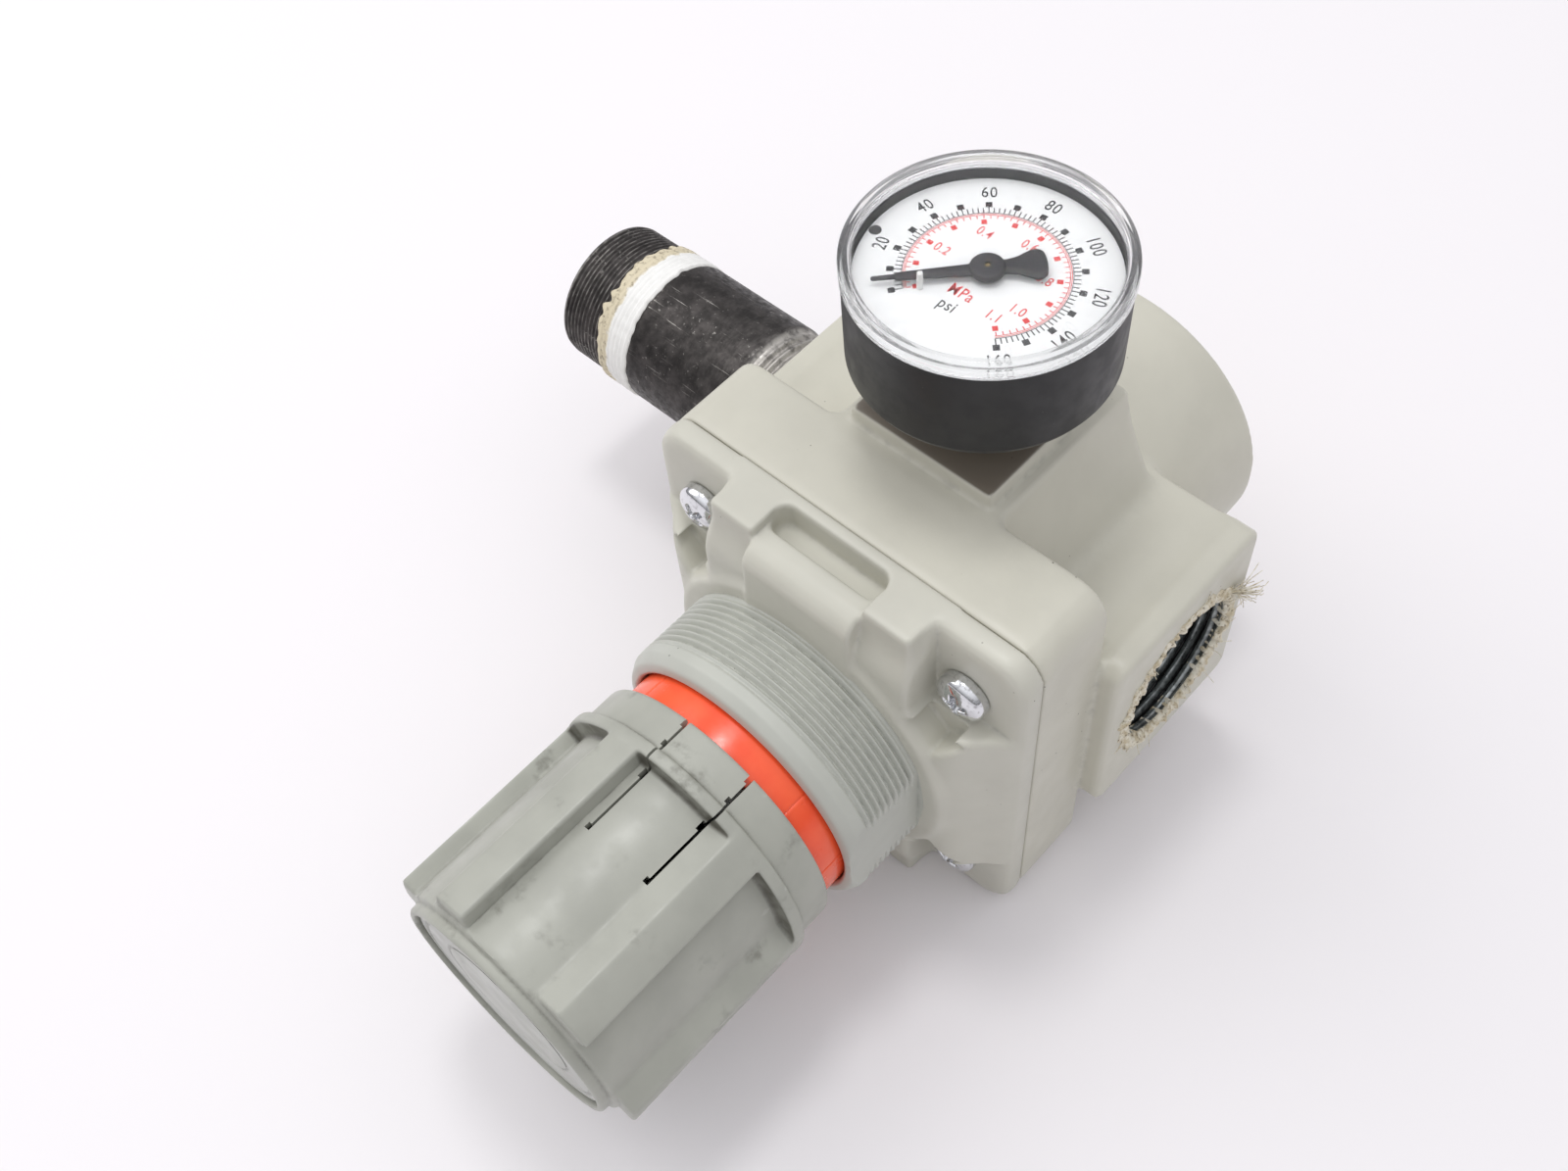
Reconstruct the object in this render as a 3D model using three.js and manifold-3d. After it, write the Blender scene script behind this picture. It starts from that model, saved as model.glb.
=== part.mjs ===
// Air pressure regulator for a 1 inch pipe line, lying on its back with the pressure gauge on top.
// Design frame in millimetres: Y is the main axis with the adjusting knob towards -Y, X is the line of
// the two pipe ports, and Z points up through the gauge. Their crossing is the design origin.
// The exported group shifts that frame so that the part stands on Z = 0, centred on its bounding box.
import * as THREE from "three";
import { mergeVertices } from "three/addons/utils/BufferGeometryUtils.js";
import Module from "manifold-3d";

const wasm = await Module();
wasm.setup();

// ---------------------------------------------------------------- driving dimensions, mm and degrees
const GAP = 0.3; // clearance left between touching pieces

const PORT_FACE = 47.5; // port faces stand at X = +-47.5
const PORT_BORE_R = 17.0;
const PORT_DEPTH = 21.5;
const HALF_W = 43.0; // half width of the square flange and bonnet, along X
const HALF_H = 45.3; // half height of the flange, bonnet and pedestals, along Z
const CORNER_R = 7.0;
const PARTING = -39.1; // plane between the body and the bonnet
const FLANGE_BACK = -22.0;
const BARREL_R = 32.5;
const BARREL_END = 47.9;
const BLOCK = { halfX: 41.0, front: -17.6, back: 20.0, halfZ: 23.6 }; // block between the ports
const STRIP = { inner: 40.3, front: -22.3, back: 20.9, halfZ: 24.3 }; // raised face of each port
const PEDESTAL = { half: 18.6, end: 17.0 }; // rib that carries the gauge boss, and its twin below
const BOSS = { half: 16.0, front: -20.5, back: 14.5, top: 48.5 };

const CHAMBER_R = 34.0; // diaphragm chamber
const CHAMBER_FLOOR = -31.0;
const SEAT_R = 8.0; // valve seat orifice
const SEAT_Y = 5.0; // back face of the seat, where the valve closes
const INLET_R = 15.0; // chamber behind the seat
const OUTLET_R = 14.0; // chamber in front of the seat
const GUIDE_R = 5.0; // hole that the valve stem passes to reach the diaphragm
const SENSING = { r: 1.6, x: 9.0 }; // small hole that feeds outlet pressure to the diaphragm
const PORT_WAY = { r: 8.0, reach: 27.0, outletY: -9.5, inletY: 13.2 }; // from each port to the valve
const GAUGE_HOLE = { r: 7.0, floor: 36.0, wayR: 1.5, wayY: -8.5 };
const CAP_R = 22.0; // valve guide cap in the back end
const CAP_FRONT = 38.0;

const SCREW = { x: 31.1, z: 31.2, shank: 2.5, head: 5.0, seat: -43.6, crown: -47.2, tip: -26.0 };

const BONNET_PLATE_FRONT = -44.0;
const MID_BLOCK = { half: 23.5, front: -50.3 }; // upright block in the middle of the bonnet
const SLOT = { half: 12.5, back: -41.7, front: -46.9, floor: 39.5, barTop: 43.4 };
const SHOULDER_R = 33.0;
const NECK = {
  r: 30.0, root: 29.2, inner: -50.0, start: -53.0, end: -68.2, lip: -73.0, lipR: 26.9,
  pitch: 1.5, flat: 28.0,
};
const SPRING_BORE_R = 20.5;
const SLEEVE_R = 23.6; // inner sleeve of the bonnet that carries the indicator ring
const SLEEVE_END = -86.5;
const SLEEVE_WALL = 3.0;
const POCKET_R = 26.3; // annular pocket between the neck and the sleeve
const POCKET_DEPTH = -62.0;

const RING = { r: 25.9, inner: 24.0, front: -80.2, back: -69.0 };

const KNOB = {
  collarR: 28.0, bandR: 29.3, crestR: 29.3, floorR: 25.5, lipR: 24.0,
  rear: -78.5, bandBack: -86.3, bandFront: -88.8, crestFront: -129.5, lipFront: -132.4,
  face: -129.0, hollowEnd: -125.5, hub: 9.5, cheek: 26.3, bore: 23.9,
  crests: 6, crestStart: 40, crestEnd: 55, rampEnd: 64,
};

const DISC = { r: 22.4, front: -131.5 }; // disc let into the knob's end

const STEM = { r: 6.0, collarR: 9.0, inner: -70.0, hex: 6.2, outer: -118.8 };
const NUT = { r: 19.4, front: -78.6, back: -74.6, key: 4.4, keyR: 21.8 };
const SPRING = { r: 16.4, wire: 2.2, turns: 5.5, back: -43.0 }; // sets the outlet pressure
const VALVE_SPRING = { r: 9.2, wire: 0.8, turns: 5 };
const COIL_STEPS = 8; // straight steps in each turn of a spring

const GAUGE_Y = -3.1; // gauge axis stands at X = 0, Y = GAUGE_Y
const CASE = { r: 24.3, bottom: 60.0, top: 80.3, bore: 21.2, ledge: 77.6, rimBore: 22.9, floor: 62.0 };
const DIAL = { r: 22.5, bottom: 78.0, top: 78.6 };
const COVER = { r: 24.6, bottom: 80.6, top: 83.9, lensTop: 83.5, lensBottom: 82.6, rimInner: 23.0 };
const POINTER_REST = 226; // degrees from +X, at no pressure
const SECTOR = { r: 13.0, from: 44, to: 96, bottom: 69.8, thickness: 1.8 }; // swings the pinion
const PINION_R = 2.0;
const TUBE = { bow: 15.5, from: -60, sweep: 265, halfW: 1.7, halfT: 0.8, z: 65.2 }; // Bourdon tube
const POINTER = { bottom: 79.6, top: 80.1, hubTop: 80.9 };
const PIN = { r: 0.55, at: 11.4, angle: 8.6, top: 82.1 };
const SECTOR_PIVOT_Y = GAUGE_Y - SECTOR.r - PINION_R - 0.35;

const NIPPLE = {
  end: -108.5, inner: -30.0, r: 16.7, threadR: 16.2, bore: 13.3, grip: -87.0, taper: -58.5,
};
const TAPE = { outer: -97.0, inner: -87.4, r: 17.1, bore: 16.5 };
const RESIDUE = { out: 48.7, in: 40.0, r: 16.7, bore: 15.6 };
const PLUG_R = 6.7;

const CENTRE_X = (NIPPLE.end + RESIDUE.out) / 2;
const CENTRE_Y = (KNOB.lipFront + BARREL_END) / 2;

// ---------------------------------------------------------------- materials
const finish = (color, roughness, metalness = 0, extra = {}) =>
  new THREE.MeshStandardMaterial({ color, roughness, metalness, ...extra });
const castPaint = () => finish(0xcfcdbd, 0.45);
const bonnetPaint = () => finish(0xcdcbbd, 0.42);
const knobPlastic = () => finish(0x93948b, 0.55);
const ringPlastic = () => finish(0xff5a2a, 0.3);
const chromedSteel = () => finish(0xd5d8dc, 0.18, 1);
const springSteel = () => finish(0x8d9094, 0.35, 1);
const brass = () => finish(0xb5954f, 0.35, 1);
const aluminium = () => finish(0xb9bbbd, 0.4, 1);
const rubber = () => finish(0x1c1c1c, 0.8);
const blackPipe = () => finish(0x2a2725, 0.55, 0.7);
const whiteTape = () => finish(0xeeebe2, 0.8);
const casePlastic = () => finish(0x17171a, 0.4);
const clearPlastic = () => finish(0xf4f8f8, 0.05, 0, { transparent: true, opacity: 0.3 });
const whitePrint = () => finish(0xf5f5f2, 0.6);

// ---------------------------------------------------------------- solids
// A closed geometry as a solid, whichever way its profile was drawn.
function solid(geometry) {
  const source = geometry.index ? geometry.toNonIndexed() : geometry;
  const bare = new THREE.BufferGeometry();
  bare.setAttribute("position", source.getAttribute("position"));
  const merged = mergeVertices(bare, 1e-4);
  const index = merged.index.array;
  const faces = [];
  for (let i = 0; i < index.length; i += 3) {
    const [a, b, c] = [index[i], index[i + 1], index[i + 2]];
    if (a !== b && b !== c && c !== a) faces.push(a, b, c);
  }
  const build = (list) => new wasm.Manifold(new wasm.Mesh({
    numProp: 3,
    vertProperties: new Float32Array(merged.attributes.position.array),
    triVerts: new Uint32Array(list),
  }));
  const made = build(faces);
  if (made.volume() > 0) return made;
  return build(faces.reverse());
}

const joined = (first, ...others) => others.reduce((sum, each) => sum.add(each), first);
const cut = (first, ...tools) => tools.reduce((rest, each) => rest.subtract(each), first);

function box(x0, x1, y0, y1, z0, z1) {
  const g = new THREE.BoxGeometry(x1 - x0, y1 - y0, z1 - z0);
  return solid(g.translate((x0 + x1) / 2, (y0 + y1) / 2, (z0 + z1) / 2));
}

// Round bars along the three axes; sides = 6 with turn gives a hexagon.
function barY(r, y0, y1, x = 0, z = 0, sides = 32, turn = 0) {
  const g = new THREE.CylinderGeometry(r, r, y1 - y0, sides);
  return solid(g.rotateY(turn).translate(x, (y0 + y1) / 2, z));
}

function barX(r, x0, x1, y = 0, z = 0, sides = 32) {
  const g = new THREE.CylinderGeometry(r, r, x1 - x0, sides);
  return solid(g.rotateZ(Math.PI / 2).translate((x0 + x1) / 2, y, z));
}

function barZ(r, z0, z1, x = 0, y = 0, sides = 24) {
  const g = new THREE.CylinderGeometry(r, r, z1 - z0, sides);
  return solid(g.rotateX(Math.PI / 2).translate(x, y, (z0 + z1) / 2));
}

// A closed profile of [radius, height] points turned about an axis.
function turned(profile, sides = 32) {
  const points = profile.map(([r, h]) => new THREE.Vector2(r, h));
  if (profile[0][0] > 0 || profile[profile.length - 1][0] > 0) points.push(points[0].clone());
  return new THREE.LatheGeometry(points, sides);
}
const turnedY = (profile, sides) => solid(turned(profile, sides));
const turnedX = (profile, sides) => solid(turned(profile, sides).rotateZ(-Math.PI / 2));
const turnedZ = (profile, x, y, sides) =>
  solid(turned(profile, sides).rotateX(Math.PI / 2).translate(x, y, 0));

function outline(points) {
  return new THREE.Shape(points.map(([u, v]) => new THREE.Vector2(u, v)));
}

function roundedOutline(halfU, halfV, r) {
  const s = new THREE.Shape();
  s.moveTo(halfU, halfV - r);
  s.absarc(halfU - r, halfV - r, r, 0, Math.PI / 2);
  s.absarc(-halfU + r, halfV - r, r, Math.PI / 2, Math.PI);
  s.absarc(-halfU + r, -halfV + r, r, Math.PI, 1.5 * Math.PI);
  s.absarc(halfU - r, -halfV + r, r, 1.5 * Math.PI, 2 * Math.PI);
  return s;
}

const extruded = (shape, depth, curveSegments = 3) =>
  new THREE.ExtrudeGeometry(shape, { depth, bevelEnabled: false, curveSegments });

// Outlines drawn in (X, Z) and run along Y, in (Y, Z) and run along X, or in (X, Y) and run up Z.
const alongY = (shape, y0, y1, segments) =>
  solid(extruded(shape, y1 - y0, segments).rotateX(Math.PI / 2).translate(0, y1, 0));
const alongX = (shape, x0, x1) =>
  solid(extruded(shape, x1 - x0).rotateZ(Math.PI / 2).rotateY(Math.PI / 2).translate(x0, 0, 0));
const upZ = (shape, z0, z1) => solid(extruded(shape, z1 - z0).translate(0, 0, z0));

// Tapers from one rounded rectangle to another of as many points.
function taper(near, far) {
  const steps = 3;
  const ring = ({ halfU, halfV, r, y }) =>
    roundedOutline(halfU, halfV, r).getPoints(steps).slice(0, -1).map((p) => [p.x, y, p.y]);
  const [a, b] = [ring(near), ring(far)];
  const count = a.length;
  const at = [...a, ...b, [0, near.y, 0], [0, far.y, 0]];
  const faces = [];
  for (let i = 0; i < count; i++) {
    const j = (i + 1) % count;
    faces.push(i, j, count + j, i, count + j, count + i);
    faces.push(2 * count, j, i, 2 * count + 1, count + i, count + j);
  }
  const g = new THREE.BufferGeometry();
  g.setAttribute("position", new THREE.Float32BufferAttribute(at.flat(), 3));
  g.setIndex(faces);
  return solid(g);
}

// A round wire wound about the Y axis, from y0 to y1; wire is the wire's own radius.
function coilSpring({ r, wire, turns }, y0, y1) {
  class Coil extends THREE.Curve {
    getPoint(t, target = new THREE.Vector3()) {
      const a = 2 * Math.PI * turns * t;
      return target.set(r * Math.cos(a), y0 + wire + (y1 - y0 - 2 * wire) * t, r * Math.sin(a));
    }
  }
  const section = new THREE.Shape().absarc(0, 0, wire, 0, 2 * Math.PI);
  return solid(new THREE.ExtrudeGeometry(section, {
    steps: Math.round(turns * COIL_STEPS),
    curveSegments: 3,
    bevelEnabled: false,
    extrudePath: new Coil(),
  }));
}

const part = new THREE.Group();

function place(name, made, material) {
  const { vertProperties, triVerts, numProp } = made.getMesh();
  const at = new Float32Array((vertProperties.length / numProp) * 3);
  for (let i = 0; i < at.length / 3; i++) {
    at.set(vertProperties.subarray(i * numProp, i * numProp + 3), i * 3);
  }
  const g = new THREE.BufferGeometry();
  g.setAttribute("position", new THREE.BufferAttribute(at, 3));
  g.setIndex(new THREE.BufferAttribute(triVerts, 1));
  g.computeVertexNormals();
  const mesh = new THREE.Mesh(g, material);
  mesh.name = name;
  part.add(mesh);
}

const bothSides = [1, -1];
const corners = [[1, 1], [-1, 1], [1, -1], [-1, -1]];
const polar = (r, degrees) => [
  r * Math.cos(THREE.MathUtils.degToRad(degrees)),
  r * Math.sin(THREE.MathUtils.degToRad(degrees)),
];

// ---------------------------------------------------------------- cast body
function castBody() {
  const flange = alongY(roundedOutline(HALF_W, HALF_H, CORNER_R), PARTING + 0.2, FLANGE_BACK);
  const pedestalSide = [[PEDESTAL.half, HALF_H], [21.5, 37], [25, 28], [28, 22]];
  const pedestal = alongY(outline([
    ...pedestalSide,
    ...pedestalSide.map(([u, v]) => [u, -v]).reverse(),
    ...pedestalSide.map(([u, v]) => [-u, -v]),
    ...pedestalSide.map(([u, v]) => [-u, v]).reverse(),
  ]), FLANGE_BACK - 1, PEDESTAL.end);
  const boss = box(-BOSS.half, BOSS.half, BOSS.front, BOSS.back, HALF_H - 2, BOSS.top);
  const barrel = turnedY([[0, FLANGE_BACK - 1], [BARREL_R, FLANGE_BACK - 1],
    [BARREL_R, BARREL_END - 1], [BARREL_R - 1, BARREL_END], [0, BARREL_END]], 40);
  const block = box(-BLOCK.halfX, BLOCK.halfX, BLOCK.front, BLOCK.back, -BLOCK.halfZ, BLOCK.halfZ);
  const strips = bothSides.map((side) => {
    const { inner, front, back, halfZ } = STRIP;
    const shape = outline([[front, 1.8 - halfZ], [front + 2, -halfZ], [back - 2.4, -halfZ],
      [back, 2.3 - halfZ], [back, halfZ - 2.3], [back - 2.4, halfZ], [front, halfZ]]);
    return side > 0 ? alongX(shape, inner, PORT_FACE) : alongX(shape, -PORT_FACE, -inner);
  });
  const outside = joined(flange, pedestal, boss, barrel, block, ...strips);

  const portBores = bothSides.map((side) => {
    const [a, b] = [side * (PORT_FACE - PORT_DEPTH), side * (PORT_FACE + 1)];
    return barX(PORT_BORE_R, Math.min(a, b), Math.max(a, b), 0, 0, 32);
  });
  const chamber = barY(CHAMBER_R, PARTING - 1, CHAMBER_FLOOR, 0, 0, 32);
  const guideHole = barY(GUIDE_R, CHAMBER_FLOOR - 1, -24, 0, 0, 24);
  const sensingHole = barY(SENSING.r, CHAMBER_FLOOR - 1, -24, SENSING.x, 0, 12);
  const outletChamber = barY(OUTLET_R, -25, -1, 0, 0, 32);
  const seatHole = barY(SEAT_R, -2, SEAT_Y + 1, 0, 0, 32);
  const inletChamber = barY(INLET_R, SEAT_Y, CAP_FRONT + 1, 0, 0, 32);
  const capBore = barY(CAP_R, CAP_FRONT, BARREL_END + 1, 0, 0, 32);
  const outletWay = barX(PORT_WAY.r, 0, PORT_WAY.reach, PORT_WAY.outletY, 0, 20);
  const inletWay = barX(PORT_WAY.r, -PORT_WAY.reach, 0, PORT_WAY.inletY, 0, 20);
  const gaugeHole = barZ(GAUGE_HOLE.r, GAUGE_HOLE.floor, BOSS.top + 1, 0, GAUGE_Y);
  const gaugeWay = barZ(GAUGE_HOLE.wayR, SEAT_R, GAUGE_HOLE.floor + 1, 0, GAUGE_HOLE.wayY, 12);
  const plugHole = barZ(PLUG_R + GAP, -HALF_H - 1, -34, 0, GAUGE_Y);
  const screwHoles = corners.map(([i, j]) =>
    barY(SCREW.shank + GAP, PARTING - 1, SCREW.tip + 2, i * SCREW.x, j * SCREW.z, 16));
  return cut(outside, ...portBores, chamber, guideHole, sensingHole, outletChamber, seatHole,
    inletChamber, capBore, outletWay, inletWay, gaugeHole, gaugeWay, plugHole, ...screwHoles);
}

// ---------------------------------------------------------------- bonnet and its screws
function bonnet() {
  const back = PARTING - 0.2;
  const plate = alongY(roundedOutline(HALF_W, HALF_H, CORNER_R), BONNET_PLATE_FRONT, back);
  const flare = taper(
    { halfU: HALF_W - 0.6, halfV: HALF_H - 3, r: CORNER_R, y: BONNET_PLATE_FRONT + 0.5 },
    { halfU: 34, halfV: 35.5, r: 14, y: -52 },
  );
  const block = box(-MID_BLOCK.half, MID_BLOCK.half, MID_BLOCK.front, back, -HALF_H, HALF_H);
  const barHalf = [[-40, SLOT.barTop], [-50.5, SLOT.barTop], [-53, 41.5], [-54.2, 38], [-54.2, 30]];
  const bar = alongX(outline([...barHalf, ...barHalf.map(([u, v]) => [u, -v]).reverse()]),
    -SLOT.half, SLOT.half);
  const shoulder = barY(SHOULDER_R, NECK.start - 0.6, BONNET_PLATE_FRONT, 0, 0, 32);
  const neckProfile = [[0, NECK.inner], [NECK.root, NECK.inner], [NECK.root, NECK.start]];
  const ridges = Math.floor((NECK.start - NECK.end) / NECK.pitch);
  for (let i = 0; i < ridges; i++) {
    const y = NECK.start - i * NECK.pitch;
    neckProfile.push([NECK.r, y - NECK.pitch / 2], [NECK.root, y - NECK.pitch]);
  }
  neckProfile.push([NECK.r, NECK.end], [29.3, -70.6], [NECK.lipR, NECK.lip], [0, NECK.lip]);
  const sleeve = barY(SLEEVE_R, SLEEVE_END, NECK.inner, 0, 0, 32);
  const flats = box(-NECK.flat, NECK.flat, -80, -40, -40, 40);
  const neck = turnedY(neckProfile, 32).intersect(flats);
  const pocket = cut(barY(POCKET_R, NECK.lip - 1, POCKET_DEPTH, 0, 0, 32),
    barY(SLEEVE_R, NECK.lip - 2, POCKET_DEPTH + 1, 0, 0, 32));
  const springBore = barY(SPRING_BORE_R, SLEEVE_END + SLEEVE_WALL, PARTING + 1, 0, 0, 32);
  const stemHole = barY(STEM.r + GAP, SLEEVE_END - 1, SLEEVE_END + SLEEVE_WALL + 1, 0, 0, 24);
  const plateRoom = barY(27, -47.5, PARTING + 1, 0, 0, 32);
  const diaphragmRoom = barY(CHAMBER_R, -41.6, PARTING + 1, 0, 0, 32);
  const keyR = NUT.keyR + 0.4;
  const keyway = box(-keyR, keyR, SLEEVE_END + SLEEVE_WALL, PARTING, -NUT.key / 2 - 0.4, NUT.key / 2 + 0.4);
  const slots = bothSides.map((side) => {
    const across = (a, b) => (side > 0 ? [a, b] : [-b, -a]);
    return joined(
      box(-SLOT.half, SLOT.half, SLOT.front, SLOT.back, ...across(SLOT.floor, HALF_H + 1)),
      box(-SLOT.half, SLOT.half, -60, SLOT.back, ...across(SLOT.barTop + 0.05, HALF_H + 1)),
    );
  });
  const spotFaces = corners.map(([i, j]) => {
    const [low, high] = j > 0 ? [SCREW.z - 6.3, HALF_H + 2] : [-HALF_H - 2, -SCREW.z + 6.3];
    return box(i * SCREW.x - 7.1, i * SCREW.x + 7.1, -60, SCREW.seat, low, high);
  });
  const screwHoles = corners.map(([i, j]) =>
    barY(SCREW.shank + GAP, -60, PARTING + 1, i * SCREW.x, j * SCREW.z, 16));
  const ribs = joined(plate, flare, block, bar, shoulder);
  return cut(joined(cut(ribs, ...spotFaces, ...slots), neck, sleeve), pocket, springBore, stemHole,
    plateRoom, diaphragmRoom, keyway, ...screwHoles);
}

function bonnetScrew(i, j) {
  const { head, shank, seat, crown, tip } = SCREW;
  const profile = [[0, tip], [shank - 0.5, tip], [shank, tip - 1], [shank, seat - GAP],
    [head, seat - GAP], [head, seat - 1.3], [head * 0.82, crown + 0.5], [head * 0.4, crown], [0, crown]];
  const blank = solid(turned(profile, 14).translate(i * SCREW.x, 0, j * SCREW.z));
  const drive = [[1.9, 0.45], [0.45, 1.9]].map(([u, v]) =>
    box(i * SCREW.x - u, i * SCREW.x + u, crown - 1, crown + 1.6, j * SCREW.z - v, j * SCREW.z + v));
  return cut(blank, ...drive);
}

// ---------------------------------------------------------------- adjusting knob and its screw
function knobOutline() {
  const shape = new THREE.Shape();
  const step = 360 / KNOB.crests;
  const rad = THREE.MathUtils.degToRad;
  for (let i = 0; i < KNOB.crests; i++) {
    const start = KNOB.crestStart + i * step;
    const [x, y] = polar(KNOB.crestR, start);
    if (i === 0) shape.moveTo(x, y);
    else shape.lineTo(x, y);
    shape.absarc(0, 0, KNOB.crestR, rad(start), rad(start + KNOB.crestEnd - KNOB.crestStart));
    const ramp = start + KNOB.rampEnd - KNOB.crestStart;
    shape.lineTo(...polar(KNOB.floorR, ramp));
    shape.absarc(0, 0, KNOB.floorR, rad(ramp), rad(start + step));
  }
  return shape;
}

function knob() {
  const grip = alongY(knobOutline(), KNOB.crestFront, KNOB.bandFront, 2);
  const shell = turnedY([[0, KNOB.lipFront], [KNOB.lipR - 0.8, KNOB.lipFront],
    [KNOB.lipR, KNOB.lipFront + 0.8], [KNOB.lipR, KNOB.crestFront], [KNOB.floorR, KNOB.crestFront],
    [KNOB.floorR, KNOB.bandFront], [KNOB.bandR, KNOB.bandFront], [KNOB.bandR, KNOB.bandBack],
    [KNOB.collarR, KNOB.bandBack], [KNOB.collarR, KNOB.rear], [0, KNOB.rear]], 32);
  const mouth = barY(KNOB.cheek, -86, KNOB.rear + 1, 0, 0, 32);
  const hollow = barY(KNOB.bore, KNOB.hollowEnd, -85, 0, 0, 28);
  const hub = barY(KNOB.hub, KNOB.hollowEnd - 0.5, -98, 0, 0, 24);
  const discRecess = barY(DISC.r + 0.5, KNOB.lipFront - 1, KNOB.face, 0, 0, 32);
  const hexSocket = barY(STEM.hex + 0.6, -124.5, -97, 0, 0, 6, Math.PI / 6);
  const cup = cut(joined(grip, shell), mouth, hollow, discRecess);
  return cut(joined(cup, hub), hexSocket);
}

function adjustingScrew() {
  const { r, collarR, inner, outer, hex } = STEM;
  const shaft = barY(r, -90, inner, 0, 0, 24);
  const collar = barY(collarR, SLEEVE_END - 2.5, SLEEVE_END - GAP, 0, 0, 32);
  const drive = barY(hex, outer, -88, 0, 0, 6, Math.PI / 6);
  return joined(shaft, collar, drive);
}

function springSeatNut() {
  const disc = turnedY([[STEM.r + GAP, NUT.front], [NUT.r, NUT.front], [NUT.r, NUT.back],
    [STEM.r + GAP, NUT.back]], 32);
  const keys = bothSides.map((side) => {
    const [a, b] = [side * 17, side * NUT.keyR];
    return box(Math.min(a, b), Math.max(a, b), NUT.front, NUT.back, -NUT.key / 2, NUT.key / 2);
  });
  return joined(disc, ...keys);
}

// ---------------------------------------------------------------- diaphragm and valve
const diaphragm = () => turnedY([[3.3, -40.4], [32.8, -40.4], [32.8, -39.0], [26, -39.0],
  [24, -38.2], [3.3, -38.2]], 32);
const diaphragmPlate = () => turnedY([[3.3, -42.7], [19.6, -42.7], [19.6, -40.8], [3.3, -40.8]], 32);
const reliefSeat = () => turnedY([[0.9, -43.6], [2.8, -43.6], [2.8, -37.7], [14, -37.7], [14, -36.3],
  [4.2, -36.3], [4.2, -34.6], [0.9, -34.6]], 32);
const valveStem = () => turnedY([[0, -34.2], [1.6, -34.2], [2.2, -33], [2.2, SEAT_Y + 2.4],
  [9.4, SEAT_Y + 2.4], [9.4, SEAT_Y + 5.2], [3.4, SEAT_Y + 5.2], [3.4, 38.6], [0, 38.6]], 24);
const valveSeal = () => turnedY([[2.6, SEAT_Y + 0.3], [9.6, SEAT_Y + 0.3], [9.6, SEAT_Y + 2.1],
  [2.6, SEAT_Y + 2.1]], 32);

function valveGuideCap() {
  const blank = turnedY([[0, CAP_FRONT + GAP], [18.2, CAP_FRONT + GAP], [18.2, 41.2], [CAP_R - GAP, 41.2],
    [CAP_R - GAP, BARREL_END - 0.5], [CAP_R - 1, BARREL_END - 0.1], [0, BARREL_END - 0.1]], 32);
  const guide = barY(6.5, 26, CAP_FRONT + 1, 0, 0, 24);
  const guideBore = barY(3.7, 25, 42.6, 0, 0, 24);
  const spanner = box(-12, 12, BARREL_END - 3, BARREL_END + 1, -2, 2);
  return cut(joined(blank, guide), guideBore, spanner);
}

const capSeal = () => turnedY([[18.6, CAP_FRONT + GAP], [CAP_R - GAP, CAP_FRONT + GAP],
  [CAP_R - GAP, 40.9], [18.6, 40.9]], 32);

// ---------------------------------------------------------------- pressure gauge
const gaugeCase = () => turnedZ([[5.5, CASE.bottom], [CASE.r - 0.7, CASE.bottom],
  [CASE.r, CASE.bottom + 0.7], [CASE.r, CASE.top], [CASE.rimBore, CASE.top], [CASE.rimBore, CASE.ledge],
  [CASE.bore, CASE.ledge], [CASE.bore, CASE.floor], [5.5, CASE.floor]], 0, GAUGE_Y, 32);

function gaugeSocket() {
  const thread = barZ(6.6, 38, 50, 0, GAUGE_Y, 24);
  const flats = barZ(8.2, BOSS.top + GAP, 57.5, 0, GAUGE_Y, 6);
  const neck = barZ(5.0, 57, 63, 0, GAUGE_Y, 24);
  const block = box(-4.5, 4.5, GAUGE_Y - 4.5, GAUGE_Y + 4.5, CASE.floor + GAP, 67.9);
  return joined(thread, flats, neck, block);
}

function bourdonTube() {
  class Bow extends THREE.Curve {
    getPoint(t, target = new THREE.Vector3()) {
      const [x, y] = polar(TUBE.bow, TUBE.from + TUBE.sweep * t);
      return target.set(x, GAUGE_Y + y, TUBE.z);
    }
  }
  const section = new THREE.Shape().absellipse(0, 0, TUBE.halfW, TUBE.halfT, 0, 2 * Math.PI);
  const g = new THREE.ExtrudeGeometry(section, {
    steps: 18, curveSegments: 2, bevelEnabled: false, extrudePath: new Bow(),
  });
  return solid(g);
}

function movementPlate() {
  const plate = box(-4, 4, SECTOR_PIVOT_Y - 3, GAUGE_Y + 4, 68.2, 69.2);
  return cut(plate, barZ(1.1, 67, 70, 0, GAUGE_Y, 12), barZ(1.3, 67, 70, 0, SECTOR_PIVOT_Y, 12));
}

function sectorGear() {
  const rad = THREE.MathUtils.degToRad;
  const s = new THREE.Shape();
  s.moveTo(0, -2);
  s.lineTo(...polar(SECTOR.r, SECTOR.from));
  s.absarc(0, 0, SECTOR.r, rad(SECTOR.from), rad(SECTOR.to));
  s.lineTo(-2, -1);
  const plate = solid(extruded(s, SECTOR.thickness, 8).translate(0, SECTOR_PIVOT_Y, SECTOR.bottom));
  return joined(plate, barZ(1.0, 68, 72.2, 0, SECTOR_PIVOT_Y, 12));
}

const pinionShaft = () => joined(barZ(0.8, 68.3, POINTER.hubTop - GAP, 0, GAUGE_Y, 12),
  barZ(PINION_R, 69.6, 72.0, 0, GAUGE_Y, 20));

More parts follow.
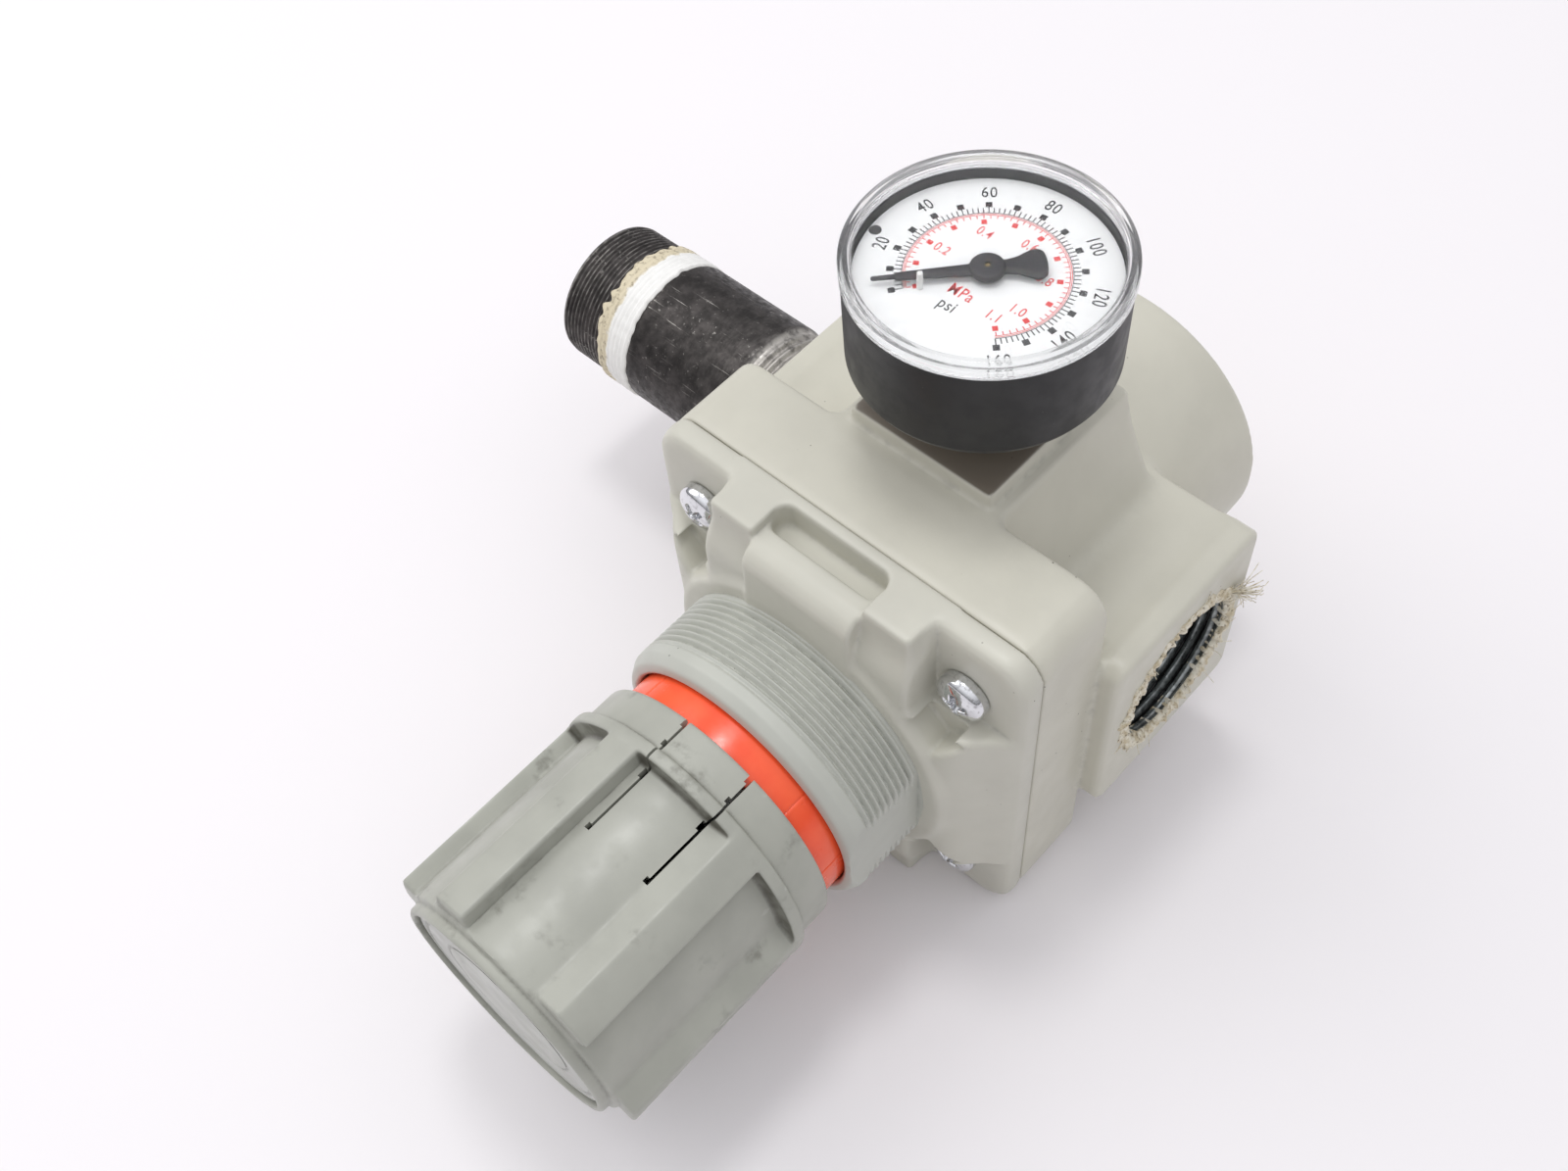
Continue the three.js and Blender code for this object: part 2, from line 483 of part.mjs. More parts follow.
const gaugeDial = () => cut(barZ(DIAL.r, DIAL.bottom, DIAL.top, 0, GAUGE_Y, 32),
  barZ(1.2, DIAL.bottom - 1, DIAL.top + 1, 0, GAUGE_Y, 12),
  barZ(0.9, DIAL.bottom - 1, DIAL.top + 1, ...pinPlace(), 12));

function pinPlace() {
  const [x, y] = polar(PIN.at, POINTER_REST + PIN.angle);
  return [x, y + GAUGE_Y];
}

const limitPin = () => barZ(PIN.r, DIAL.bottom, PIN.top, ...pinPlace(), 10);

function gaugePointer() {
  const turn = THREE.MathUtils.degToRad(POINTER_REST);
  const blade = outline([[-2.5, -1.4], [-8.6, -3.1], [-9.8, 0], [-8.6, 3.1], [-2.5, 1.4],
    [8, 1.0], [15, 0.8], [15.2, 0.45], [19, 0.4],
    [19, -0.4], [15.2, -0.45], [15, -0.8], [8, -1.0]]);
  const flat = solid(extruded(blade, POINTER.top - POINTER.bottom)
    .rotateZ(turn).translate(0, GAUGE_Y, POINTER.bottom));
  const hub = barZ(2.9, POINTER.bottom, POINTER.hubTop, 0, GAUGE_Y, 24);
  return cut(joined(flat, hub), barZ(1.1, POINTER.bottom - 1, POINTER.hubTop + 1, 0, GAUGE_Y, 12));
}

const gaugeCover = () => turnedZ([[0, COVER.lensBottom], [COVER.rimInner, COVER.lensBottom],
  [COVER.rimInner, COVER.bottom], [COVER.r, COVER.bottom], [COVER.r, COVER.top - 0.5],
  [COVER.r - 0.5, COVER.top], [COVER.r - 1.6, COVER.top], [COVER.r - 2.2, COVER.lensTop],
  [0, COVER.lensTop]], 0, GAUGE_Y, 32);

// ---------------------------------------------------------------- pipe work
function pipeNipple() {
  const { end, inner, r, threadR, bore, grip, taper: taperX } = NIPPLE;
  return turnedX([[bore, end], [threadR - 0.5, end], [threadR, end + 1], [threadR, grip - 0.3],
    [r, grip], [r, taperX], [threadR + 0.2, taperX + 1], [15.8, inner], [bore, inner]], 32);
}

const nippleTape = () => turnedX([[TAPE.bore, TAPE.outer], [TAPE.r - 0.25, TAPE.outer],
  [TAPE.r, TAPE.outer + 3], [TAPE.r, TAPE.inner - 0.5], [TAPE.r - 0.2, TAPE.inner],
  [TAPE.bore, TAPE.inner]], 32);

const portTape = () => turnedX([[RESIDUE.bore, RESIDUE.in], [RESIDUE.r, RESIDUE.in],
  [RESIDUE.r, RESIDUE.out - 0.3], [RESIDUE.r - 0.3, RESIDUE.out], [RESIDUE.bore + 0.3, RESIDUE.out],
  [RESIDUE.bore, RESIDUE.out - 1]], 32);

function portPlug() {
  const blank = barZ(PLUG_R, -HALF_H + 0.4, -36, 0, GAUGE_Y, 24);
  return cut(blank, barZ(3.4, -HALF_H - 1, -40, 0, GAUGE_Y, 6));
}

// ---------------------------------------------------------------- assembly
place("body", castBody(), castPaint());
place("bonnet", bonnet(), bonnetPaint());
corners.forEach(([i, j], n) => place(`bonnet_screw_${n + 1}`, bonnetScrew(i, j), chromedSteel()));
place("valve_guide_cap", valveGuideCap(), brass());
place("cap_seal", capSeal(), rubber());
place("gauge_port_plug", portPlug(), springSteel());
place("inlet_nipple", pipeNipple(), blackPipe());
place("nipple_thread_tape", nippleTape(), whiteTape());
place("port_thread_tape", portTape(), whiteTape());

place("diaphragm", diaphragm(), rubber());
place("diaphragm_plate", diaphragmPlate(), aluminium());
place("relief_seat", reliefSeat(), brass());
place("valve_stem", valveStem(), brass());
place("valve_seal", valveSeal(), rubber());
place("valve_spring", coilSpring(VALVE_SPRING, SEAT_Y + 5.5, CAP_FRONT), springSteel());
place("regulating_spring", coilSpring(SPRING, NUT.back + GAP, SPRING.back), springSteel());

place("knob", knob(), knobPlastic());
place("knob_end_disc", barY(DISC.r, DISC.front, KNOB.face - GAP, 0, 0, 32), knobPlastic());
place("adjusting_screw", adjustingScrew(), springSteel());
place("spring_seat_nut", springSeatNut(), brass());
place("indicator_ring", turnedY([[RING.inner, RING.front], [RING.r, RING.front], [RING.r, RING.back],
  [RING.inner, RING.back]], 40), ringPlastic());

place("gauge_socket", gaugeSocket(), brass());
place("gauge_case", gaugeCase(), casePlastic());
place("bourdon_tube", bourdonTube(), brass());
place("movement_plate", movementPlate(), brass());
place("sector_gear", sectorGear(), brass());
place("pinion_shaft", pinionShaft(), brass());
place("gauge_dial", gaugeDial(), whitePrint());
place("limit_pin", limitPin(), whitePrint());
place("gauge_pointer", gaugePointer(), casePlastic());
place("gauge_cover", gaugeCover(), clearPlastic());

part.position.set(-CENTRE_X, -CENTRE_Y, HALF_H);
const assembly = new THREE.Group();
assembly.add(part);

export default assembly;
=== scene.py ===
import math
from functools import reduce

import bmesh
import bpy
import numpy as np
from mathutils import Matrix, Vector


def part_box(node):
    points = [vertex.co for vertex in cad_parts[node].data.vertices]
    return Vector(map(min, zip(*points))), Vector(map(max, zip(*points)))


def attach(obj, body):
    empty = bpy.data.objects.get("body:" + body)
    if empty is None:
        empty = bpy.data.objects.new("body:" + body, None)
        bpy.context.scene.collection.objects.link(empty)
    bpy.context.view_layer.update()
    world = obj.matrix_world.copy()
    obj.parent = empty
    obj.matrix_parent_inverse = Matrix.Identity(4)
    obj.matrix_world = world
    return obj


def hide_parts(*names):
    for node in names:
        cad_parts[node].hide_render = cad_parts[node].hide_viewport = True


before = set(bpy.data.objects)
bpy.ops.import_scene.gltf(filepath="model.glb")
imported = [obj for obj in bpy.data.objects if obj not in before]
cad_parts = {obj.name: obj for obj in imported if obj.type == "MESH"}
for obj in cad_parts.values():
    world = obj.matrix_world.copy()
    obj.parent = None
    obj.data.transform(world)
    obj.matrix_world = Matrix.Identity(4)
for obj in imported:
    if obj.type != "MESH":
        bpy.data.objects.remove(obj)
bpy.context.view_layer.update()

MM = 0.001


def middle(node):
    low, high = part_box(node)
    return (low + high) / 2


ORIGIN = np.array([middle("indicator_ring").x, middle("inlet_nipple").y, middle("indicator_ring").z])
scene = bpy.context.scene

# ---- driving sizes, mm and degrees
PORT_FACE = 47.5
HALF_W = 43.0
HALF_H = 45.3
CORNER_R = 7.0
BODY_FRONT = -38.95
BONNET_BACK = -39.2
FLANGE_BACK = -21.4
BARREL_R = 32.5
BARREL_END = 47.9
BOSS_TOP = 48.5
SCREW_X = 31.1
SCREW_Z = 31.2
SCREW_SEAT = -44.3
SCREW_CROWN = -48.5
NECK_R = 30.0
NECK_FLAT = 28.0
NECK_ROOT = -53.6
NECK_TIP = -68.6
KNOB_CRESTS = 6
CREST_R = 29.3
DISC_FRONT = -131.5
RING_R = 25.9
GAUGE_Y = -3.1
DIAL_TOP = 78.6
INK_FOOT = DIAL_TOP + 0.005
INK_TOP = DIAL_TOP + 0.03
POINTER_REST = 226.0
SCALE_ZERO = 232.0
SCALE_SWEEP = 278.0
SCALE_TILT = 3.0
PSI_FULL = 160.0
PSI_PER_MPA = 145.0
PIPE_END = -108.5
TAPE_START = -97.0
TAPE_STOP = -87.5
DARK_SPECKS = (0.10, 0.085, 0.06)


def facing(degrees):
    """Cosine and sine of an angle in degrees."""
    return math.cos(math.radians(degrees)), math.sin(math.radians(degrees))


def toned(colour, share):
    """A colour made lighter or darker."""
    return tuple(channel * share for channel in colour)


# ---- materials
LOOKS = {}


class Look:
    """A Principled material whose patterns are laid out in design millimetres."""

    def __init__(self, name, roughness, metallic=0.0):
        self.name = name
        self.material = bpy.data.materials.new(name)
        self.material.use_nodes = True
        self.tree = self.material.node_tree
        self.shader = self.tree.nodes["Principled BSDF"]
        self.shader.inputs["Roughness"].default_value = roughness
        self.shader.inputs["Metallic"].default_value = metallic
        coordinates = self.node("TexCoord")
        self.place = self.node("Mapping", Scale=(1 / MM,) * 3, Location=tuple(-ORIGIN / MM))
        self.link(coordinates.outputs["Object"], self.place.inputs["Vector"])

    def node(self, kind, **sockets):
        node = self.tree.nodes.new("ShaderNode" + kind)
        for socket, value in sockets.items():
            node.inputs[socket].default_value = value
        return node

    def link(self, source, target):
        self.tree.links.new(source, target)

    def feed(self, value, socket):
        if hasattr(value, "links"):
            self.link(value, socket)
        else:
            socket.default_value = value

    def noise(self, size, detail=3.0, stretch=(1, 1, 1), roughness=0.55):
        """Cloudy noise with lumps of that size in mm, drawn out by stretch along each axis."""
        scaled = self.node("Mapping", Scale=tuple(1 / (size * s) for s in stretch))
        self.link(self.place.outputs["Vector"], scaled.inputs["Vector"])
        node = self.node("TexNoise", Scale=1.0, Detail=detail, Roughness=roughness)
        self.link(scaled.outputs["Vector"], node.inputs["Vector"])
        return node.outputs["Fac"]

    def dots(self, size, radius):
        """1 inside small dots on a scattered grid of that size in mm, 0 outside them."""
        node = self.node("TexVoronoi", Scale=1 / size)
        self.link(self.place.outputs["Vector"], node.inputs["Vector"])
        return self.ranged(node.outputs["Distance"], radius, radius * 0.6)

    def ranged(self, value, low, high, to_low=0.0, to_high=1.0):
        """Carries a value from the range low to high over to another range, smoothly."""
        node = self.node("MapRange")
        node.interpolation_type = "SMOOTHSTEP"
        self.feed(value, node.inputs["Value"])
        limits = {"From Min": low, "From Max": high, "To Min": to_low, "To Max": to_high}
        for socket, number in limits.items():
            node.inputs[socket].default_value = number
        return node.outputs["Result"]

    def cloud(self, size, detail, low, high, to_low=0.0, to_high=1.0, stretch=(1, 1, 1)):
        """Patches of noise: to_low where it is under low, to_high where it is over high."""
        return self.ranged(self.noise(size, detail, stretch), low, high, to_low, to_high)

    def times(self, a, b):
        return self.math("MULTIPLY", a, b)

    def math(self, operation, a, b=0.0):
        """One arithmetic step; a and b are sockets or numbers."""
        node = self.node("Math")
        node.operation = operation
        self.feed(a, node.inputs[0])
        self.feed(b, node.inputs[1])
        return node.outputs[0]

    def axis(self, letter):
        node = self.node("SeparateXYZ")
        self.link(self.place.outputs["Vector"], node.inputs[0])
        return node.outputs[letter]

    def reach(self, first, second, centre=0.0):
        """Distance from a line along the third axis; centre shifts it along the second."""
        across = self.math("SUBTRACT", self.axis(second), centre)
        squares = [self.times(side, side) for side in (self.axis(first), across)]
        return self.math("SQRT", self.math("ADD", *squares))

    def hollows(self, low=0.5, high=0.44):
        """1 in concave corners, 0 on flats and edges."""
        return self.ranged(self.node("NewGeometry").outputs["Pointiness"], low, high)

    def edges(self, low=0.52, high=0.6):
        """1 on convex edges, 0 on flats and in hollows."""
        return self.ranged(self.node("NewGeometry").outputs["Pointiness"], low, high)

    def mix(self, factor, a, b):
        node = self.node("Mix")
        node.data_type = "RGBA"
        self.feed(factor, node.inputs[0])
        for value, socket in ((a, node.inputs[6]), (b, node.inputs[7])):
            self.feed(value if hasattr(value, "links") else (*value, 1.0), socket)
        return node.outputs[2]

    def finish(self, colour=None, roughness=None, bumps=()):
        """Feeds the shader and files the look under its name. bumps are (height, strength, depth
        in mm), one over the other."""
        for value, socket in ((colour, "Base Color"), (roughness, "Roughness")):
            if value is not None:
                self.link(value, self.shader.inputs[socket])
        normal = None
        for height, strength, depth in bumps:
            node = self.node("Bump", Strength=strength, Distance=depth * MM)
            self.link(height, node.inputs["Height"])
            if normal:
                self.link(normal, node.inputs["Normal"])
            normal = node.outputs["Normal"]
        if normal:
            self.link(normal, self.shader.inputs["Normal"])
        LOOKS[self.name] = self.material


def cast_paint(name, colour, specks=DARK_SPECKS, boss=False):
    """Satin paint over a casting: soft mottling, fine dark specks, painted shade with grime in corners, and
    with boss a painted shadow on the gauge boss's top.
    """
    look = Look(name, 0.42)
    tone = look.mix(look.cloud(14.0, 4.0, 0.35, 0.7), colour, toned(colour, 0.95))
    speckled = look.times(look.dots(2.6, 0.075), look.cloud(16.0, 3.0, 0.5, 0.62))
    tone = look.mix(speckled, tone, specks)
    # painted shade: darker in concave corners, mixed with grime
    grime = look.times(look.hollows(), look.cloud(3.0, 6.0, 0.42, 0.66, 0.0, 0.5))
    tone = look.mix(grime, tone, toned(colour, 0.55))
    # painted shadow: the boss's top face under the gauge darkened brown, standing in for the gauge's shadow
    # and dark reflection
    if boss:
        top = look.ranged(look.axis("Z"), BOSS_TOP - 0.25, BOSS_TOP - 0.1)
        tone = look.mix(look.times(top, 0.85), tone, (0.12, 0.092, 0.068))
    gloss = look.cloud(6.0, 5.0, 0.3, 0.7, 0.36, 0.48)
    look.finish(tone, gloss, bumps=[(look.noise(0.9, 2.0), 0.12, 0.12)])


def knob_plastic(name, base):
    """Grey moulded plastic with smudges, fine scratches, and painted shade mixed with dirt in its hollows
    and along the ribs.
    """
    look = Look(name, 0.5)
    dark = (0.10, 0.095, 0.075)
    tone = look.mix(look.cloud(12.0, 4.0, 0.35, 0.7), base, toned(base, 0.9))
    smudge = look.times(look.cloud(9.0, 2.0, 0.56, 0.7), look.cloud(2.2, 7.0, 0.42, 0.72, 0.0, 0.5))
    tone = look.mix(smudge, tone, dark)
    # painted shade: darker in concave corners, mixed with dirt
    dirt = look.times(look.hollows(0.5, 0.42), look.cloud(6.0, 3.0, 0.3, 0.65, 0.35, 0.9))
    tone = look.mix(dirt, tone, dark)
    # painted shadow with dirt in the step in front of the band
    tone = look.mix(band_dirt(look), tone, dark)
    worn = look.times(look.edges(0.53, 0.62), look.cloud(4.0, 3.0, 0.4, 0.6, 0.2, 0.7))
    tone = look.mix(worn, tone, (0.50, 0.51, 0.46))
    gloss = look.cloud(7.0, 5.0, 0.3, 0.7, 0.3, 0.5)
    scratches = look.noise(0.5, 2.0, (1, 14, 1))
    look.finish(tone, gloss, bumps=[(look.noise(0.35, 2.0), 0.10, 0.05), (scratches, 0.06, 0.08)])


def band_dirt(look):
    """Painted shadow with dirt in the step between the knob's ribs and the raised band at its rim."""
    height = look.axis("Y")
    step = look.times(look.ranged(height, -89.8, -88.9), look.ranged(height, -88.8, -88.5, 1.0, 0.0))
    step = look.times(step, look.ranged(look.reach("X", "Z"), 28.6, 29.1, 1.0, 0.0))
    return look.times(step, look.cloud(5.0, 3.0, 0.3, 0.6, 0.45, 0.95))


def ring_plastic():
    look = Look("ring_plastic", 0.28)
    tone = look.mix(look.cloud(8.0, 3.0, 0.35, 0.7), (1.0, 0.125, 0.04), (0.95, 0.095, 0.03))
    dust = look.times(look.dots(2.2, 0.05), look.cloud(6.0, 3.0, 0.5, 0.6, 0.0, 0.6))
    tone = look.mix(dust, tone, (0.35, 0.05, 0.02))
    gloss = look.cloud(3.0, 4.0, 0.3, 0.7, 0.16, 0.28)
    look.finish(tone, gloss, bumps=[(look.noise(0.6, 2.0), 0.04, 0.05)])


def case_plastic(name="case_plastic", base=(0.006, 0.006, 0.0075), roughness=(0.38, 0.52)):
    """Black moulded plastic with a fine satin grain and faint dust."""
    look = Look(name, 0.42)
    tone = look.mix(look.cloud(10.0, 4.0, 0.4, 0.75, 0.0, 0.6), base, toned(base, 2.1))
    dust = look.times(look.dots(1.7, 0.05), look.cloud(5.0, 3.0, 0.5, 0.6, 0.0, 0.5))
    tone = look.mix(dust, tone, (0.25, 0.25, 0.25))
    gloss = look.cloud(4.0, 5.0, 0.3, 0.7, *roughness)
    look.finish(tone, gloss, bumps=[(look.noise(0.28, 2.0), 0.12, 0.04)])


def clear_plastic():
    """The gauge's cover: clear over the dial, and more solid round its rim."""
    look = Look("clear_plastic", 0.03)
    look.shader.inputs["Transmission Weight"].default_value = 1.0
    look.shader.inputs["IOR"].default_value = 1.49
    look.shader.inputs["Base Color"].default_value = (0.985, 0.99, 0.99, 1.0)
    from_axis = look.reach("X", "Y", GAUGE_Y)
    look.link(look.ranged(from_axis, 21.8, 22.9, 0.05, 0.8), look.shader.inputs["Alpha"])
    haze = look.cloud(3.0, 6.0, 0.45, 0.8, 0.0, 0.06)
    look.finish(roughness=haze, bumps=[(look.noise(5.0, 2.0), 0.01, 0.05)])


def dial_paint(name, base, shade):
    """Flat print on the dial sheet, with a trace of unevenness in the ink."""
    look = Look(name, 0.5)
    tone = look.mix(look.cloud(1.2, 4.0, 0.4, 0.75, 0.0, 0.5), base, shade)
    gloss = look.cloud(2.0, 4.0, 0.3, 0.7, 0.42, 0.6)
    look.finish(tone, gloss, bumps=[(look.noise(0.3, 2.0), 0.03, 0.02)])


def plated_steel():
    """Bright plating with hair scratches, small dull spots, and painted shade in the cross recess and other
    hollows.
    """
    look = Look("plated_steel", 0.12, 1.0)
    dull = look.cloud(0.9, 5.0, 0.5, 0.75)
    tone = look.mix(dull, (0.74, 0.75, 0.77), (0.45, 0.45, 0.46))
    # painted shade: near black in the cross recess and other hollows
    tone = look.mix(look.hollows(0.47, 0.40), tone, (0.06, 0.06, 0.06))
    gloss = look.cloud(0.7, 5.0, 0.35, 0.7, 0.05, 0.15)
    look.finish(tone, gloss, bumps=[(look.noise(0.6, 2.0), 0.03, 0.03)])


def plain_metal(name, base, roughness, grain=(1, 1, 1)):
    """Machined metal with a directional grain, stained here and there."""
    look = Look(name, roughness, 1.0)
    stain = look.cloud(3.5, 5.0, 0.45, 0.75, 0.0, 0.7)
    tone = look.mix(stain, base, toned(base, 0.55))
    gloss = look.cloud(1.2, 5.0, 0.3, 0.7, roughness - 0.08, roughness + 0.14, stretch=grain)
    look.finish(tone, gloss, bumps=[(look.noise(0.25, 3.0, grain), 0.12, 0.05)])


def plain_rubber():
    look = Look("rubber", 0.75)
    tone = look.mix(look.noise(4.0, 5.0), (0.012, 0.012, 0.012), (0.035, 0.034, 0.033))
    gloss = look.cloud(2.0, 3.0, 0.3, 0.7, 0.65, 0.85)
    look.finish(tone, gloss, bumps=[(look.noise(0.4), 0.15, 0.06)])


def black_pipe():
    """Mill scale on a pipe, scraped to bright metal along it and at the cut thread by the port."""
    look = Look("black_pipe", 0.5, 0.75)
    base, bright = (0.030, 0.027, 0.026), (0.46, 0.44, 0.41)
    tone = look.mix(look.cloud(3.0, 8.0, 0.35, 0.7), base, toned(base, 2.3))
    along = look.noise(0.55, 5.0, (26, 1, 1), 0.7)
    broken = look.cloud(5.0, 6.0, 0.46, 0.64, stretch=(2.5, 1, 1))
    scrape = look.times(look.ranged(along, 0.595, 0.69), broken)
    chips = look.times(look.cloud(0.8, 8.0, 0.6, 0.72), look.cloud(7.0, 3.0, 0.4, 0.7, 0.0, 0.7))
    rubbed = look.cloud(2.2, 5.0, 0.4, 0.7, 0.1, 0.75, stretch=(0.3, 1, 1))
    crests = look.times(look.edges(0.505, 0.56), rubbed)
    near_port = look.ranged(look.axis("X"), -59.2, -58.2)
    cut = look.times(near_port, look.cloud(1.5, 6.0, 0.3, 0.6, 0.35, 1.0))
    wear = scrape
    for each in (chips, crests, cut):
        wear = look.math("MAXIMUM", wear, each)
    tone = look.mix(wear, tone, bright)
    gloss = look.cloud(1.4, 6.0, 0.3, 0.7, 0.32, 0.62)
    turning = look.noise(0.22, 4.0, (1, 18, 18))
    scale = look.noise(0.5, 6.0)
    look.finish(tone, gloss, bumps=[(scale, 0.25, 0.10), (turning, 0.18, 0.10), (along, 0.12, 0.06)])


def thread_tape():
    """White thread tape with fine creases round the pipe, yellowed and grubby at its outer edge."""
    look = Look("thread_tape", 0.62)
    white, cream, grime = (0.86, 0.855, 0.83), (0.66, 0.58, 0.40), (0.22, 0.18, 0.12)
    grey = look.cloud(2.5, 5.0, 0.4, 0.75, 0.0, 0.35, stretch=(0.5, 1, 1))
    tone = look.mix(grey, white, (0.70, 0.70, 0.67))
    ragged = look.math("ADD", look.axis("X"), look.times(look.noise(3.0, 5.0), 3.4))
    sealant = look.ranged(ragged, -92.2, -91.4, 1.0, 0.0)
    tone = look.mix(look.times(sealant, 0.9), tone, cream)
    tone = look.mix(look.times(sealant, look.cloud(1.1, 6.0, 0.5, 0.75)), tone, grime)
    gloss = look.cloud(2.0, 3.0, 0.3, 0.7, 0.5, 0.75)
    look.finish(tone, gloss, bumps=[(look.noise(0.35, 4.0, (1, 22, 22)), 0.45, 0.16)])


def old_tape():
    """Shreds of tape and dried sealant: cream, with dirt worked in."""
    look = Look("old_tape", 0.8)
    tone = look.mix(look.cloud(1.6, 6.0, 0.4, 0.62), (0.80, 0.76, 0.64), (0.60, 0.52, 0.36))
    dirt = look.cloud(0.8, 8.0, 0.54, 0.7, 0.0, 0.8)
    tone = look.mix(dirt, tone, (0.16, 0.13, 0.09))
    look.finish(tone, bumps=[(look.noise(0.45, 6.0), 0.7, 0.25)])


def port_metal():
    """Bare thread in the port: dark, wet-looking metal with a bluish cast."""
    look = Look("port_metal", 0.34, 0.85)
    tone = look.mix(look.cloud(2.0, 6.0, 0.35, 0.7), (0.16, 0.175, 0.175), (0.42, 0.45, 0.45))
    # painted shade: darker in the thread roots
    tone = look.mix(look.hollows(0.5, 0.45), tone, (0.035, 0.035, 0.035))
    gloss = look.cloud(1.2, 5.0, 0.3, 0.7, 0.24, 0.5)
    look.finish(tone, gloss, bumps=[(look.noise(0.4, 5.0), 0.2, 0.08)])


# boss=True adds the painted shadow on the gauge boss's top
cast_paint("body_paint", (0.60, 0.585, 0.50), boss=True)
cast_paint("bonnet_paint", (0.585, 0.575, 0.50))
cast_paint("neck_paint", (0.50, 0.51, 0.46), (0.10, 0.09, 0.07))
knob_plastic("knob_plastic", (0.405, 0.41, 0.36))
knob_plastic("disc_plastic", (0.50, 0.505, 0.47))
ring_plastic()
case_plastic()
case_plastic("pointer_paint", (0.016, 0.016, 0.018), (0.4, 0.55))
clear_plastic()
dial_paint("dial_white", (0.90, 0.91, 0.905), (0.87, 0.88, 0.875))
dial_paint("black_ink", (0.012, 0.012, 0.014), (0.03, 0.03, 0.03))
dial_paint("red_ink", (0.75, 0.045, 0.045), (0.70, 0.07, 0.065))
dial_paint("pin_white", (0.82, 0.82, 0.80), (0.74, 0.74, 0.71))
plated_steel()
plain_metal("plain_steel", (0.50, 0.51, 0.52), 0.32, (1, 8, 1))
plain_metal("machined_brass", (0.62, 0.45, 0.18), 0.3, (1, 1, 8))
plain_metal("machined_aluminium", (0.68, 0.69, 0.70), 0.36, (8, 1, 1))
plain_rubber()
black_pipe()
thread_tape()
old_tape()
port_metal()


# ---- making pieces
def put(name, data):
    """A new object in the scene."""
    thing = bpy.data.objects.new(name, data)
    scene.collection.objects.link(thing)
    return thing


def baked(thing):
    """The mesh that an object shows once its text, curve or modifiers are worked out."""
    bpy.context.view_layer.update()
    return bpy.data.meshes.new_from_object(thing.evaluated_get(bpy.context.evaluated_depsgraph_get()))


def new_mesh(name, surface, merge=False):
    """A mesh of points and faces given in design mm, with its faces turned outwards."""
    points, faces = surface
    mesh = bpy.data.meshes.new(name)
    points = np.asarray(points, float) * MM + ORIGIN
    mesh.from_pydata(points.tolist(), [], [list(map(int, face)) for face in faces])
    work = bmesh.new()
    work.from_mesh(mesh)
    if merge:
        bmesh.ops.remove_doubles(work, verts=work.verts, dist=1e-7)
        bmesh.ops.dissolve_degenerate(work, edges=work.edges, dist=1e-8)
    bmesh.ops.recalc_face_normals(work, faces=work.faces)
    work.to_mesh(mesh)
    work.free()
    return mesh


def add_piece(name, surface, look, nodes=(), body="base", sharp=35.0, merge=False):
    """One visible piece, riding on a body and standing for CAD nodes."""
    mesh = new_mesh(name, surface, merge)
    mesh.shade_smooth()
    if sharp:
        mesh.set_sharp_from_angle(angle=math.radians(sharp))
    mesh.materials.append(LOOKS[look])
    piece = put(name, mesh)
    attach(piece, body)
    if nodes:
        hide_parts(*nodes)
    return piece


def rounded(corners, steps=4):
    """A closed outline whose corners (u, v, radius) are rounded off."""
    out = []
    for i, (u, v, radius) in enumerate(corners):
        here = np.array([u, v], float)
        if radius <= 0:
            out.append(here)
            continue
        to_last = np.array(corners[i - 1][:2], float) - here
        to_next = np.array(corners[(i + 1) % len(corners)][:2], float) - here
        a, b = np.linalg.norm(to_last), np.linalg.norm(to_next)
        half = math.acos(np.clip(to_last @ to_next / (a * b), -1, 1)) / 2
        reach = min(radius / math.tan(half), 0.49 * a, 0.49 * b)
        for t in np.linspace(0, 1, steps + 1):
            start, end = here + to_last / a * reach, here + to_next / b * reach
            out.append((1 - t) ** 2 * start + 2 * t * (1 - t) * here + t ** 2 * end)
    return out


AXES = {
    "X": lambda r, h, a: (h, r * np.cos(a), r * np.sin(a)),
    "Y": lambda r, h, a: (r * np.cos(a), h, r * np.sin(a)),
    "Z": lambda r, h, a: (r * np.cos(a), r * np.sin(a), h),
}


def revolved(outline, axis, centre=(0, 0, 0), segments=128, shape=None):
    """Points and faces of a closed (radius, height) outline turned about an axis.
    shape(points, radius, height, angle) may move the points."""
    outline = np.asarray(outline, float)
    angles = np.linspace(0, 2 * math.pi, segments, endpoint=False)
    r, a = np.meshgrid(outline[:, 0], angles, indexing="ij")
    h = np.repeat(outline[:, 1:2], segments, 1)
    if shape:
        r, h = shape(r, h, a)
    points = np.stack(AXES[axis](r, h, a), -1).reshape(-1, 3) + np.array(centre, float)
    rows = len(outline)
    i, j = np.meshgrid(np.arange(rows), np.arange(segments), indexing="ij")
    i2, j2 = (i + 1) % rows, (j + 1) % segments
    faces = np.stack([i * segments + j, i * segments + j2, i2 * segments + j2, i2 * segments + j], -1)
    return points, faces.reshape(-1, 4)


def join(a, b, k):
    """The union of two distance fields, with a fillet of about k."""
    h = np.maximum(k - np.abs(a - b), 0) / k
    return np.minimum(a, b) - h * h * k / 4


def meet(a, b, k):
    """The overlap of two distance fields, with its edge rounded by about k."""
    return -join(-a, -b, k)


def union(k, first, *others):
    for each in others:
        first = join(first, each, k)
    return first


